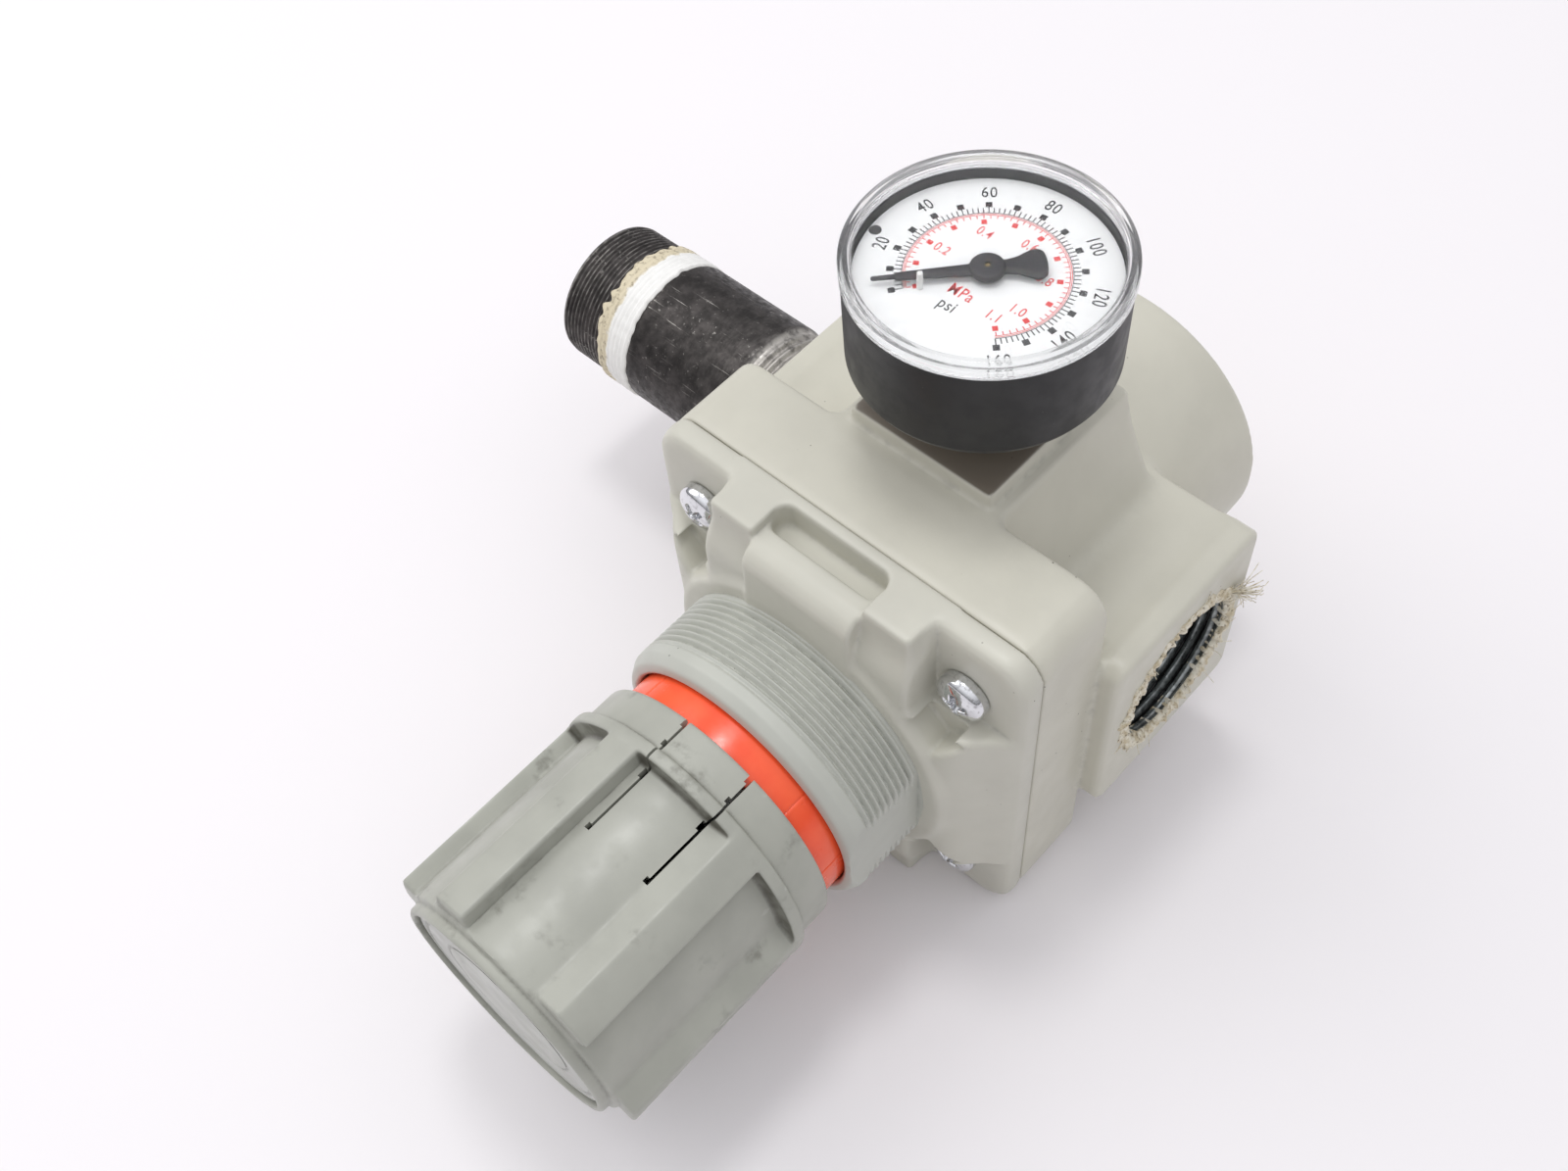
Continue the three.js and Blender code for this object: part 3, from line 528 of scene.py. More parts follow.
class Space:
    """A block of sample points in design mm, and the distance from each to simple solids."""

    def __init__(self, low, high, step):
        self.low, self.step = np.array(low, float), step
        counts = [int(math.ceil((b - a) / step)) + 1 for a, b in zip(low, high)]
        line = [(a + step * np.arange(n)).astype(np.float32) for a, n in zip(low, counts)]
        self.x = line[0][:, None, None]
        self.y = line[1][None, :, None]
        self.z = line[2][None, None, :]

    def overlap(self, parts, r):
        """The overlap of fields at right angles to each other, with its edges rounded by r."""
        squares = sum(np.maximum(part + r, 0) ** 2 for part in parts)
        return np.minimum(reduce(np.maximum, parts) + r, 0) + np.sqrt(squares) - r

    def slab(self, line, ends):
        """All between two values of x, y or z."""
        return np.abs(line - (ends[0] + ends[1]) / 2) - (ends[1] - ends[0]) / 2

    def box(self, x, y, z, r=0.0):
        return self.overlap([self.slab(self.x, x), self.slab(self.y, y), self.slab(self.z, z)], r)

    def bar(self, radius, ends, axis="Y", centre=(0, 0), r=0.0):
        """A round bar along an axis, with its rims rounded by r."""
        others = {"X": (self.y, self.z), "Y": (self.x, self.z), "Z": (self.x, self.y)}[axis]
        along = {"X": self.x, "Y": self.y, "Z": self.z}[axis]
        out = np.hypot(others[0] - centre[0], others[1] - centre[1]) - radius
        return self.overlap([out, self.slab(along, ends)], r)

    def rectangle(self, half_x, half_z, corner):
        """A rounded rectangle in X and Z, endless along Y."""
        u, v = np.abs(self.x) - half_x + corner, np.abs(self.z) - half_z + corner
        return np.hypot(np.maximum(u, 0), np.maximum(v, 0)) + np.minimum(np.maximum(u, v), 0) - corner

    def plate(self, ends, r):
        """The outline that body and bonnet share, run along Y, with its edges rounded by r."""
        return self.overlap([self.rectangle(HALF_W, HALF_H, CORNER_R), self.slab(self.y, ends)], r)

    def surface(self, field):
        """Points and quads where the field is zero: one point in each cell that the surface crosses,
        and one quad across each sample edge that it crosses."""
        field = np.broadcast_to(field, (self.x.shape[0], self.y.shape[1], self.z.shape[2]))
        inside = field < 0
        cells = tuple(n - 1 for n in field.shape)
        corners = [(i, j, k) for i in (0, 1) for j in (0, 1) for k in (0, 1)]
        count = np.zeros(cells, np.int8)
        for i, j, k in corners:
            count += inside[i:i + cells[0], j:j + cells[1], k:k + cells[2]]
        where = np.argwhere((count > 0) & (count < 8))
        total, number = np.zeros((len(where), 3)), np.zeros((len(where), 1))
        for a in corners:
            for axis in range(3):
                if a[axis]:
                    continue
                b = tuple(v + (n == axis) for n, v in enumerate(a))
                fa = field[tuple((where + a).T)]
                fb = field[tuple((where + b).T)]
                crosses = ((fa < 0) != (fb < 0))[:, None]
                share = np.where(crosses[:, 0], fa / np.where(crosses[:, 0], fa - fb, 1), 0)[:, None]
                total += crosses * (where + a + share * (np.array(b) - a))
                number += crosses
        ids = np.full(cells, -1)
        ids[tuple(where.T)] = np.arange(len(where))
        faces = []
        for axis in range(3):
            low = [slice(1, -1)] * 3
            high = [slice(1, -1)] * 3
            low[axis], high[axis] = slice(0, -1), slice(1, None)
            one, two = inside[tuple(low)], inside[tuple(high)]
            edge = np.argwhere(one != two) + [int(n != axis) for n in range(3)]
            u, v = np.eye(3, dtype=int)[(axis + 1) % 3], np.eye(3, dtype=int)[(axis + 2) % 3]
            quad = np.stack([ids[tuple((edge - d).T)] for d in (u + v, v, 0 * u, u)], -1)
            flip = two[tuple((edge - [int(n != axis) for n in range(3)]).T)]
            quad[flip] = quad[flip][:, ::-1]
            faces.append(quad)
        return self.low + self.step * total / number, np.concatenate(faces)


def thread(depth, pitch, start, end):
    """The radius of a turned outline once a thread is cut between two heights."""
    def cut(r, h, a):
        wave = np.abs((h / pitch + a / (2 * math.pi)) % 1.0 - 0.5) * 2
        fade = np.clip(np.minimum(h - min(start, end), max(start, end) - h) / pitch, 0, 1)
        return r - depth * fade * np.clip(1.3 * wave - 0.15, 0, 1)

    return cut


def rows(r0, r1, start, end, spacing):
    """Outline points from one height to another, close enough for a thread."""
    count = int(abs(end - start) / spacing)
    return [(r0 + (r1 - r0) * i / count, start + (end - start) * i / count) for i in range(count + 1)]


# ---- cast body
def port_strip(s, inner, top):
    """The raised strips at both port faces, with their corners cut off aslant."""
    corner_cut = (np.abs(s.y + 0.7) + np.abs(s.z) - 43.6) / math.sqrt(2)
    flat = meet(s.slab(s.y, (-22.3, 20.9)), np.abs(s.z) - top, 0.8)
    flat = meet(flat, corner_cut, 0.8)
    return meet(flat, s.slab(np.abs(s.x), (inner, PORT_FACE)), 1.0)


def body_casting():
    """Flange, gauge pedestals, barrel and port blocks in one casting, with its chambers and bores."""
    s = Space((-49, -40.6, -47), (49, 49.6, 50), 0.85)
    flange = s.plate((BODY_FRONT - 6, FLANGE_BACK), 0.9)
    width = 18.6 + 9.4 * np.clip((HALF_H - np.abs(s.z)) / 23.3, 0, 1.5) ** 1.5
    sides = meet((np.abs(s.x) - width) * 0.93, np.abs(s.z) - HALF_H, 1.6)
    pedestal = meet(sides, s.slab(s.y, (FLANGE_BACK - 3, 17.0)), 1.6)
    barrel = s.bar(BARREL_R, (FLANGE_BACK - 3, BARREL_END), r=1.4)
    block = s.box((-43.5, 43.5), (-17.6, 20.0), (-23.6, 23.6), 0.9)
    boss = s.box((-16, 16), (-20.5, 14.5), (38, BOSS_TOP), 0.7)
    outside = union(2.6, flange, pedestal, barrel, block)
    outside = union(1.2, outside, port_strip(s, 40.3, 23.6), port_strip(s, 42.7, 24.3))
    outside = meet(outside, np.abs(s.z) - HALF_H, 0.7)
    outside = np.maximum(join(outside, boss, 1.0), BODY_FRONT - s.y)
    bores = [s.bar(34.0, (-42, -31.0)), s.bar(5.0, (-32, -24)), s.bar(14.0, (-25, -1)), s.bar(8.0, (-2, 6)),
             s.bar(15.0, (5, 39)), s.bar(22.0, (38, 50))]
    bores += [s.bar(16.9, ends, "X") for ends in ((26.0, 50), (-50, -26.0))]
    bores += [s.bar(8.0, (0, 27), "X", (-9.5, 0)), s.bar(8.0, (-27, 0), "X", (13.2, 0))]
    bores += [s.bar(7.0, ends, "Z", (0, GAUGE_Y)) for ends in ((36, 50), (-48, -34))]
    surface = s.surface(meet(outside, -reduce(np.minimum, bores), 0.7))
    add_piece("body_casting", surface, "body_paint", ["body"], sharp=None)


def port_threads():
    """The tapped wall of the open port, as a thin sleeve inside its bore."""
    mouth, end = PORT_FACE - 0.5, 27.0
    outline = [(17.2, end), (17.2, mouth - 0.6), (16.4, mouth)] + rows(15.4, 14.7, mouth, end, 0.22)
    tapping = thread(-1.25, 2.21, mouth, end)

    def shape(r, h, a):
        return np.where(r < 16, tapping(r, h, a), r), h

    surface = revolved(outline, "X", segments=160, shape=shape)
    add_piece("open_port_threads", surface, "port_metal", sharp=50)


# ---- bonnet
def bonnet_casting():
    """Domed plate with a block across its top and bottom, corner pockets for the screws and a bar slot."""
    s = Space((-44.2, -55.4, -46.4), (44.2, -37.9, 46.4), 0.52)
    x, z = np.abs(s.x), np.abs(s.z)
    plate = s.plate((-44.9, BONNET_BACK + 6), 4.2)
    rise = np.clip((-43.5 - s.y) / 8.5, 0, 1.25)
    dome = s.rectangle(42.4 - 8.4 * rise, 42.6 - 7.1 * rise, 7 + 7 * rise)
    dome = meet(dome * 0.75, s.slab(s.y, (-52.6, -42)), 2.5)
    shoulder = s.bar(33.0, (-53.6, -44), r=0.9)
    block = s.box((-23.2, 23.2), (-50.5, BONNET_BACK + 6), (-HALF_H - 2, HALF_H + 2), 1.2)
    solid = join(join(plate, dome, 3.0), shoulder, 2.4)
    solid = join(solid, block, 4.0)
    pocket = meet(meet(24.2 - x, 25.0 - z, 3.0), s.y - SCREW_SEAT, 0.6)
    notch = (np.abs(x - 29.5) + np.abs(z - 23.5) - 5.4) / math.sqrt(2)
    notch = meet(notch, s.y + 46.6, 0.6)
    solid = meet(solid, -np.minimum(pocket, notch), 1.5)
    bar = meet(s.overlap([s.slab(s.y, (-54.2, -40)), z - 43.4], 4.5), x - 12.5, 0.8)
    solid = meet(join(solid, bar, 1.0), z - HALF_H, 1.0)
    slot = meet(s.overlap([x - 12.5, s.slab(s.y, (-46.9, -41.7))], 2.3), 39.5 - z, 1.0)
    ahead = meet(meet(x - 12.6, 43.4 - z, 0.5), s.y + 44.0, 0.5)
    solid = meet(meet(solid, -slot, 0.9), -ahead, 0.7)
    bores = [s.bar(28.6, (-60, -46)), s.bar(27.0, (-47.5, -38)), s.bar(34.0, (-41.6, -38))]
    bores += [s.bar(2.8, (-60, -38), centre=(i * SCREW_X, j * SCREW_Z)) for i in (1, -1) for j in (1, -1)]
    solid = np.maximum(solid, -reduce(np.minimum, bores))
    surface = s.surface(np.maximum(solid, s.y - BONNET_BACK))
    add_piece("bonnet_casting", surface, "bonnet_paint", ["bonnet"], sharp=None)


def bonnet_neck():
    """Threaded neck with two flats, and the sleeve inside it that carries the ring."""
    inside = rounded([(NECK_R, NECK_TIP, 0), (29.9, -70.4, 1.4), (28.6, -72.4, 1.8), (26.9, -73.0, 0.6),
                      (26.3, -72.4, 0.3), (26.3, -62.0, 0.5), (23.5, -62.0, 0.5), (23.5, -86.3, 0.4),
                      (22.9, -86.5, 0), (12.0, -86.5, 0), (12.0, -83.5, 0), (20.5, -83.5, 0.4),
                      (20.5, -46.5, 0), (28.9, -46.5, 0)])
    outline = [(29.6, -53.2)] + rows(NECK_R, NECK_R, NECK_ROOT, NECK_TIP, 0.13) + inside[1:]
    cutting = thread(1.0, 1.5, -54.2, -68.4)

    def shape(r, h, a):
        ridged = (r > 29) & (h < NECK_ROOT + 0.1) & (h > NECK_TIP)
        return np.where(ridged, cutting(r, h, a), r), h

    points, faces = revolved(outline, "Y", segments=288, shape=shape)
    ahead = points[:, 1] < NECK_ROOT - 0.15
    points[ahead, 0] = np.clip(points[ahead, 0], -NECK_FLAT, NECK_FLAT)
    add_piece("bonnet_neck", (points, faces), "neck_paint", sharp=60)


def screws():
    """Four pan-head screws with a cross recess, each turned to its own angle."""
    s = Space((-5.8, -49.3, -5.8), (5.8, -25.2, 5.8), 0.2)
    crown_r = 8.6
    dome = np.sqrt(s.x ** 2 + s.z ** 2 + (s.y - (SCREW_CROWN + crown_r)) ** 2) - crown_r
    head = meet(s.bar(5.0, (SCREW_CROWN - 1, SCREW_SEAT - 0.1), r=0.3), dome, 0.9)
    shank = s.bar(2.5, (SCREW_SEAT - 1, -26.0), r=0.4)
    deep = np.clip((s.y - SCREW_CROWN) / 2.2, 0, 1)
    arms = [meet(np.abs(u) - (2.9 - 1.7 * deep), np.abs(w) - (0.7 - 0.2 * deep), 0.3)
            for u, w in ((s.x, s.z), (s.z, s.x))]
    recess = np.maximum(reduce(np.minimum, arms), s.y - (SCREW_CROWN + 2.1))
    points, faces = s.surface(meet(join(head, shank, 0.3), -recess, 0.25))
    for n, (i, j, turn) in enumerate([(1, 1, 12), (-1, 1, 38), (1, -1, 67), (-1, -1, 25)], 1):
        c, d = facing(turn)
        turned = points.copy()
        turned[:, 0] = points[:, 0] * c - points[:, 2] * d + i * SCREW_X
        turned[:, 2] = points[:, 0] * d + points[:, 2] * c + j * SCREW_Z
        nodes = [f"bonnet_screw_{n}"]
        add_piece(f"cross_screw_{n}", (turned, faces), "plated_steel", nodes, sharp=None)


# ---- knob and ring
def folded(s, period, first):
    """Sample points turned about Y by whole periods until they lie in one sector from first."""
    angle = np.degrees(np.arctan2(s.z, s.x))
    inside = np.radians((angle - first) % period + first)
    reach = np.hypot(s.x, s.z)
    return reach * np.cos(inside), reach * np.sin(inside), reach


def knob_shell():
    """Ribbed cup with a collar at its open end and, inside, a hub with a hexagon socket."""
    s = Space((-30.6, -133.6, -30.6), (30.6, -77.4, 30.6), 0.45)
    u, v, reach = folded(s, 360 / KNOB_CRESTS, 22.0)

    def beyond(first, second):
        """Distance outside the line through two (radius, degrees) points, solid on its left."""
        a, b = (radius * np.array(facing(degrees)) for radius, degrees in (first, second))
        along = (b - a) / np.linalg.norm(b - a)
        return (u - a[0]) * along[1] - (v - a[1]) * along[0]

    wall = beyond((24, 40.5), (CREST_R, 40))
    ramp = beyond((CREST_R, 55), (25.3, 64.5))
    crest = meet(meet(reach - CREST_R, wall, 0.35), ramp, 0.35)
    crest = meet(crest, s.slab(s.y, (-129.5, -87.0)), 0.6)
    crest = meet(crest, (reach - 29.6) * 0.7 - (s.y + 129.2) * 0.7, 0.5)
    drum = s.bar(25.5, (-130.2, -84), r=0.6)
    lip = s.bar(24.3, (-132.4, -84), r=0.9)
    band = s.bar(CREST_R, (-88.8, -86.2), r=0.45)
    collar = s.bar(28.0, (-87.5, -78.5), r=0.6)
    outer = union(0.5, join(drum, crest, 0.35), lip, collar, band)
    hollow = np.minimum(s.bar(26.3, (-86.0, -77)), s.bar(24.1, (-125.5, -85)))
    cup = meet(outer, -hollow, 0.5)
    cup = meet(cup, -s.bar(22.9, (-134, -129.0)), 0.4)
    cup = np.maximum(cup, 0.42 - np.hypot(reach - 24.9, s.y + 130.5))
    cup = np.minimum(cup, s.bar(9.5, (-126, -98), r=0.4))
    across = [np.abs(s.x * c + s.z * d) for c, d in (facing(90), facing(30), facing(-30))]
    socket = np.maximum(reduce(np.maximum, across) - 5.9, s.slab(s.y, (-124.5, -97)))
    surface = s.surface(np.maximum(cup, -socket))
    cut_slits(add_piece("knob_shell", surface, "knob_plastic", ["knob"], "knob", sharp=None))


def prism(outline, low, high):
    """Points and faces of a flat (x, y) outline raised between two heights."""
    count = len(outline)
    points = [(x, y, z) for z in (low, high) for x, y in outline]
    sides = [(i, (i + 1) % count, count + (i + 1) % count, count + i) for i in range(count)]
    return points, [tuple(reversed(range(count))), tuple(range(count, 2 * count)), *sides]


def cut_slits(shell):
    """Cuts pairs of thin slits, toothed along one side, that free three tongues in the knob's rim."""
    half, deep, rear = 0.27, 0.85, -77.0
    teeth = [(-104.0, -102.8), (-91.3, -89.3), (-85.1, -83.9), (-80.2, rear)]
    line = [(half, rear), (half, teeth[0][0])]
    for front, back in teeth:
        line += [(-half, front), (-deep, front), (-deep, back), (-half, back)]
    points, faces = [], []
    for degrees in (64.0, 95.5):
        for turn in (0, 120, 240):
            c, d = facing(degrees + turn)
            flat, sides = prism(line, 23.4, 31.0)
            faces += [tuple(len(points) + i for i in side) for side in sides]
            points += [(out * c + across * d, y, out * d - across * c) for across, y, out in flat]
    cutter = put("slits", new_mesh("slits", (points, faces)))
    shell.modifiers.new("thinning", "DECIMATE").ratio = 0.58
    shaving = shell.modifiers.new("slits", "BOOLEAN")
    shaving.operation, shaving.solver, shaving.object = "DIFFERENCE", "EXACT", cutter
    shell.data = baked(shell)
    shell.modifiers.clear()
    shell.data.set_sharp_from_angle(angle=math.radians(50))
    bpy.data.objects.remove(cutter)


def end_disc():
    """Disc let into the knob's end, with two turned rings."""
    rim = rounded([(22.5, -131.4, 0.3), (21.2, DISC_FRONT, 0.2), (20.9, -131.0, 0.2), (20.3, -131.0, 0.2),
                   (20.0, DISC_FRONT, 0.2), (15.2, DISC_FRONT, 0.2), (14.9, -131.1, 0.15),
                   (14.5, -131.1, 0.15), (14.2, DISC_FRONT, 0.2)])
    surface = revolved([(0.0, -129.3), (22.4, -129.3), *rim, (0.0, DISC_FRONT)], "Y", segments=144)
    add_piece("knob_cap_disc", surface, "disc_plastic", ["knob_end_disc"], "knob", merge=True)


def ring():
    """Bright ring between neck and knob, moulded in sectors with fine joints."""
    corners = rounded([(24.0, -80.2, 0.2), (RING_R, -80.2, 0.35), (RING_R, -69.0, 0.35), (24.0, -69.0, 0.2)])
    outline = []
    for a, b in zip(corners, corners[1:] + corners[:1]):
        outline += [a, a + (b - a) * 0.5]

    def shape(r, h, a):
        around = [(np.degrees(a) - place + 180) % 360 - 180 for place in (8, 45, 128, 165, 248, 285)]
        joints = sum(np.exp(-(off / 0.42) ** 2) for off in around)
        return r - 0.22 * np.clip(joints, 0, 1) * (r > 25), h

    surface = revolved(outline, "Y", segments=900, shape=shape)
    add_piece("set_pressure_ring", surface, "ring_plastic", ["indicator_ring"])


# ---- gauge
def on_dial(radius, degrees):
    c, d = facing(degrees)
    return radius * c, radius * d + GAUGE_Y


def gauge():
    """Case, clear cover, dial sheet and the pin that the pointer rests near."""
    centre = (0, GAUGE_Y, 0)
    case = rounded([(5.5, 60.0, 0), (22.9, 60.0, 1.6), (24.1, 62.2, 1.0), (24.3, 80.3, 0.25),
                    (22.9, 80.3, 0.2), (22.9, 77.6, 0.1), (21.2, 77.6, 0.2), (21.2, 62.0, 0.5),
                    (5.5, 62.0, 0)])
    surface = revolved(case, "Z", centre, 160)
    add_piece("gauge_housing", surface, "case_plastic", ["gauge_case"])
    cover = rounded([(0.0, 82.6, 0), (22.3, 82.6, 0.3), (22.9, 81.8, 0.3), (22.9, 80.5, 0.15),
                     (24.6, 80.5, 0.25), (24.6, 83.2, 0.5), (23.7, 83.9, 0.35), (22.9, 83.9, 0.2),
                     (22.5, 83.4, 0.2), (0.0, 83.4, 0)])
    surface = revolved(cover, "Z", centre, 192)
    add_piece("gauge_lens", surface, "clear_plastic", ["gauge_cover"], merge=True)
    dial = rounded([(1.2, 78.0, 0), (22.5, 78.0, 0.1), (22.5, DIAL_TOP, 0.1), (1.2, DIAL_TOP, 0.1)], 2)
    add_piece("dial_plate", revolved(dial, "Z", centre, 128), "dial_white", ["gauge_dial"])
    pin = rounded([(0.0, 78.0, 0), (0.55, 78.0, 0), (0.55, 82.1, 0.3), (0.0, 82.1, 0)])
    surface = revolved(pin, "Z", (*on_dial(11.4, POINTER_REST + 8.6), 0), 24)
    add_piece("stop_pin", surface, "pin_white", ["limit_pin"], merge=True)


class Print:
    """Ink on the dial: marks and numerals gathered into one thin piece."""

    def __init__(self):
        self.points, self.faces = [], []

    def add(self, points, faces):
        base = len(self.points)
        self.points += points
        self.faces += [tuple(base + i for i in face) for face in faces]

    def mark(self, degrees, inner, outer, width):
        """A radial bar, at an angle on the dial."""
        c, d = facing(degrees)
        flat = [(inner, -width / 2), (outer, -width / 2), (outer, width / 2), (inner, width / 2)]
        self.add(*prism([(r * c - w * d, r * d + w * c + GAUGE_Y) for r, w in flat], INK_FOOT, INK_TOP))

    def arc(self, radius, width, start, end, steps=180):
        """A thin ring segment from one angle to another."""
        turns = [start + (end - start) * i / steps for i in range(steps + 1)]
        inner, outer = radius - width / 2, radius + width / 2
        for a, b in zip(turns, turns[1:]):
            flat = [on_dial(inner, a), on_dial(outer, a), on_dial(outer, b), on_dial(inner, b)]
            self.add(*prism(flat, INK_FOOT, INK_TOP - 0.005))

    def text(self, words, degrees, radius, height, turn):
        """Condensed numerals at an angle and radius on the dial, turned by turn degrees."""
        curve = bpy.data.curves.new("numeral", "FONT")
        curve.body = words
        curve.size = height * 1.35
        curve.align_x, curve.align_y = "CENTER", "CENTER"
        curve.resolution_u = 4
        curve.extrude = 0.012
        curve.offset = 0.01
        curve.space_character = 1.12
        holder = put("numeral", curve)
        mesh = baked(holder)
        c, d = facing(turn)
        x0, y0 = on_dial(radius, degrees)
        squeeze = 0.76
        spots = [(v.co.x * squeeze, v.co.y, v.co.z + DIAL_TOP + 0.018) for v in mesh.vertices]
        points = [(x * c - y * d + x0, x * d + y * c + y0, z) for x, y, z in spots]
        self.add(points, [tuple(polygon.vertices) for polygon in mesh.polygons])
        bpy.data.objects.remove(holder)
        bpy.data.curves.remove(curve)
        bpy.data.meshes.remove(mesh)

    def piece(self, name, look):
        add_piece(name, (self.points, self.faces), look, sharp=30, merge=True)


def psi_angle(psi):
    return SCALE_ZERO - SCALE_SWEEP * psi / PSI_FULL


def mpa_angle(mpa):
    return psi_angle(mpa * PSI_PER_MPA)


def dial_scales():
    """Black outer scale in psi, red inner scale in MPa, and a black spot near the dial's edge."""
    black, red = Print(), Print()
    for psi in range(0, int(PSI_FULL) + 1, 2):
        angle = psi_angle(psi)
        black.mark(angle, 14.15, 15.3 if psi % 10 else 15.6, 0.2)
        if psi % 10 == 0:
            black.mark(angle, 15.45, 16.65, 1.15)
        if psi % 20 == 0 and psi > 0:
            upside = 180 if psi > 130 else 0
            black.text(str(psi), angle, 18.9, 2.6, angle - 90 + upside)
    black.arc(14.1, 0.12, psi_angle(0), psi_angle(PSI_FULL))
    for step in range(56):
        angle = mpa_angle(step * 0.02)
        red.mark(angle, 12.75, 13.5, 0.17)
        if step % 5 == 0:
            red.mark(angle, 11.45, 12.5, 0.95)
    for tenth in (2, 4, 6, 8, 10, 11):
        red.text(f"{tenth / 10:.1f}", mpa_angle(tenth * 0.1), 9.4, 2.1, SCALE_TILT)
    for radius in (13.55, 13.85):
        red.arc(radius, 0.13, psi_angle(0), psi_angle(PSI_FULL))
    red.text("MPa", 264, 6.0, 2.5, SCALE_TILT)
    black.text("psi", 266, 9.5, 2.5, SCALE_TILT)
    x, y = on_dial(21.3, 190.6)
    spot = [(x + 1.1 * c, y + 1.1 * d) for c, d in (facing(15 * i) for i in range(24))]
    black.add(*prism(spot, INK_FOOT, INK_TOP))
    black.piece("dial_black_print", "black_ink")
    red.piece("dial_red_print", "red_ink")


def pointer():
    """Pointer with a slim blade, a flared tail and a domed hub over the shaft's end."""
    tail = [(-2.4, 1.35), (-5.0, 1.9), (-6.6, 2.75), (-7.8, 3.25), (-8.8, 3.2)]
    fan = [(-9.9 * c, 9.9 * d) for c, d in (facing(a) for a in (15, 9, 3, -3, -9, -15))]
    blade = [(0, 1.3), (3, 1.25), (15.0, 0.78), (15.3, 0.45), (18.8, 0.38), (19.2, 0.2)]
    outline = tail + fan + [(x, -y) for x, y in reversed(tail)]
    outline += [(x, -y) for x, y in blade] + blade[::-1]
    c, d = facing(POINTER_REST)
    surface = prism([(x * c - y * d, x * d + y * c + GAUGE_Y) for x, y in outline], 79.65, 80.1)
    needle = add_piece("pointer_blade", surface, "pointer_paint", body="pointer", sharp=30)
    bevel = needle.modifiers.new("edge", "BEVEL")
    bevel.width, bevel.segments = 0.07 * MM, 2
    hub = rounded([(1.0, 79.5, 0), (2.95, 79.5, 0.1), (3.0, 80.75, 0.5), (0.5, 81.0, 0.1), (0.42, 80.7, 0),
                   (1.0, 80.68, 0)])
    surface = revolved(hub, "Z", (0, GAUGE_Y, 0), 64)
    add_piece("pointer_hub", surface, "pointer_paint", ["gauge_pointer"], "pointer")


# ---- pipe nipple and tape
def nipple():
    """Pipe nipple with a thread at each end, slightly out of round."""
    outer = rows(16.3, 16.35, -107.6, -96.4, 0.14)
    grip = [(16.55, -87.6), (16.72, -87.0), (16.72, -86.0), (16.72, -60.0), (16.7, -58.8), (16.2, -58.3)]
    inner = rows(16.2, 15.7, -58.1, -44.0, 0.2)
    outline = [(13.3, PIPE_END + 0.2), (13.6, PIPE_END), (15.7, PIPE_END), (16.1, PIPE_END + 0.3)]
    outline += outer + grip + inner + [(15.5, -43.5), (13.3, -43.5)]
    fine, coarse = thread(0.34, 1.1, PIPE_END - 0.1, -96.0), thread(0.7, 2.21, -58.4, -43.6)

    def shape(r, h, a):
        cut = np.where(h < -90, fine(r, h, a), np.where(h > -58.4, coarse(r, h, a), r))
        wobble = 0.05 * np.sin(3 * a + 0.7) * np.sin(h / 9)
        return np.where(r > 15, cut + wobble, r), h

    surface = revolved(outline, "X", segments=200, shape=shape)
    add_piece("pipe_nipple", surface, "black_pipe", ["inlet_nipple"], sharp=60)


def waves(a, seed, count=9, highest=46):
    """A smooth ragged line round a circle, about -1 to 1, the same at each run."""
    chance = np.random.default_rng(seed)
    turns = chance.integers(2, highest, count)
    shift = chance.uniform(0, 2 * math.pi, count)
    return sum(np.sin(t * a + p) for t, p in zip(turns, shift)) / math.sqrt(count)


def wound_tape():
    """Several turns of tape drawn into the thread, with a ragged edge on each side."""
    heights = np.linspace(TAPE_START, TAPE_STOP, 44)
    outline = [(16.0, TAPE_START)] + [(16.9, h) for h in heights] + [(16.0, TAPE_STOP)]

    def shape(r, h, a):
        layers = 0.07 * np.sin(h * 5.2 + a) + 0.05 * np.sin(h * 9.7 + 2 * a) + 0.04 * waves(a, 5)
        ends = np.clip((h - TAPE_START) / 0.8, 0, 1) * np.clip((TAPE_STOP - h) / 0.5, 0, 1)
        r = np.where(r > 16.5, 16.45 + 0.5 * np.sqrt(ends) + layers * ends, r)
        h = h + np.where(h < -94, 0.5 * waves(a, 11) * np.clip((-94 - h) / 3, 0, 1), 0)
        return r, h + np.where(h > -89, 0.22 * waves(a, 17) * np.clip((h + 89) / 1.5, 0, 1), 0)

    surface = revolved(outline, "X", segments=320, shape=shape)
    add_piece("wound_tape", surface, "thread_tape", ["nipple_thread_tape"], sharp=70)


def port_residue():
    """A torn collar of old tape round the open port."""
    section = [(16.0, 45.2), (16.9, 46.4), (17.0, PORT_FACE), (17.9, PORT_FACE + 0.02),
               (17.9, PORT_FACE + 0.5), (17.1, PORT_FACE + 1.0), (16.2, PORT_FACE + 0.7),
               (15.6, PORT_FACE - 0.2)]

    def shape(r, h, a):
        spread = np.clip(0.25 + 0.75 * waves(a, 3, 14, 40) + 0.45 * np.cos(a - 2.6), 0, 2.4)
        outward = np.clip((r - 17.2) / 0.7, 0, 1)
        inward = np.clip((16.9 - r) / 1.3, 0, 1)
        rise = np.clip(h - PORT_FACE, 0, 1) * (0.75 + 0.45 * waves(a, 8, 12, 80))
        r = r + 1.15 * spread * outward - inward * 0.55 * waves(a, 21, 12, 70)
        return r, np.where(h > PORT_FACE + 0.1, PORT_FACE + 0.12 + np.clip(rise, 0, 1.3), h)

    surface = revolved(section, "X", segments=520, shape=shape)
    add_piece("torn_tape_collar", surface, "old_tape", ["port_thread_tape"], sharp=50)


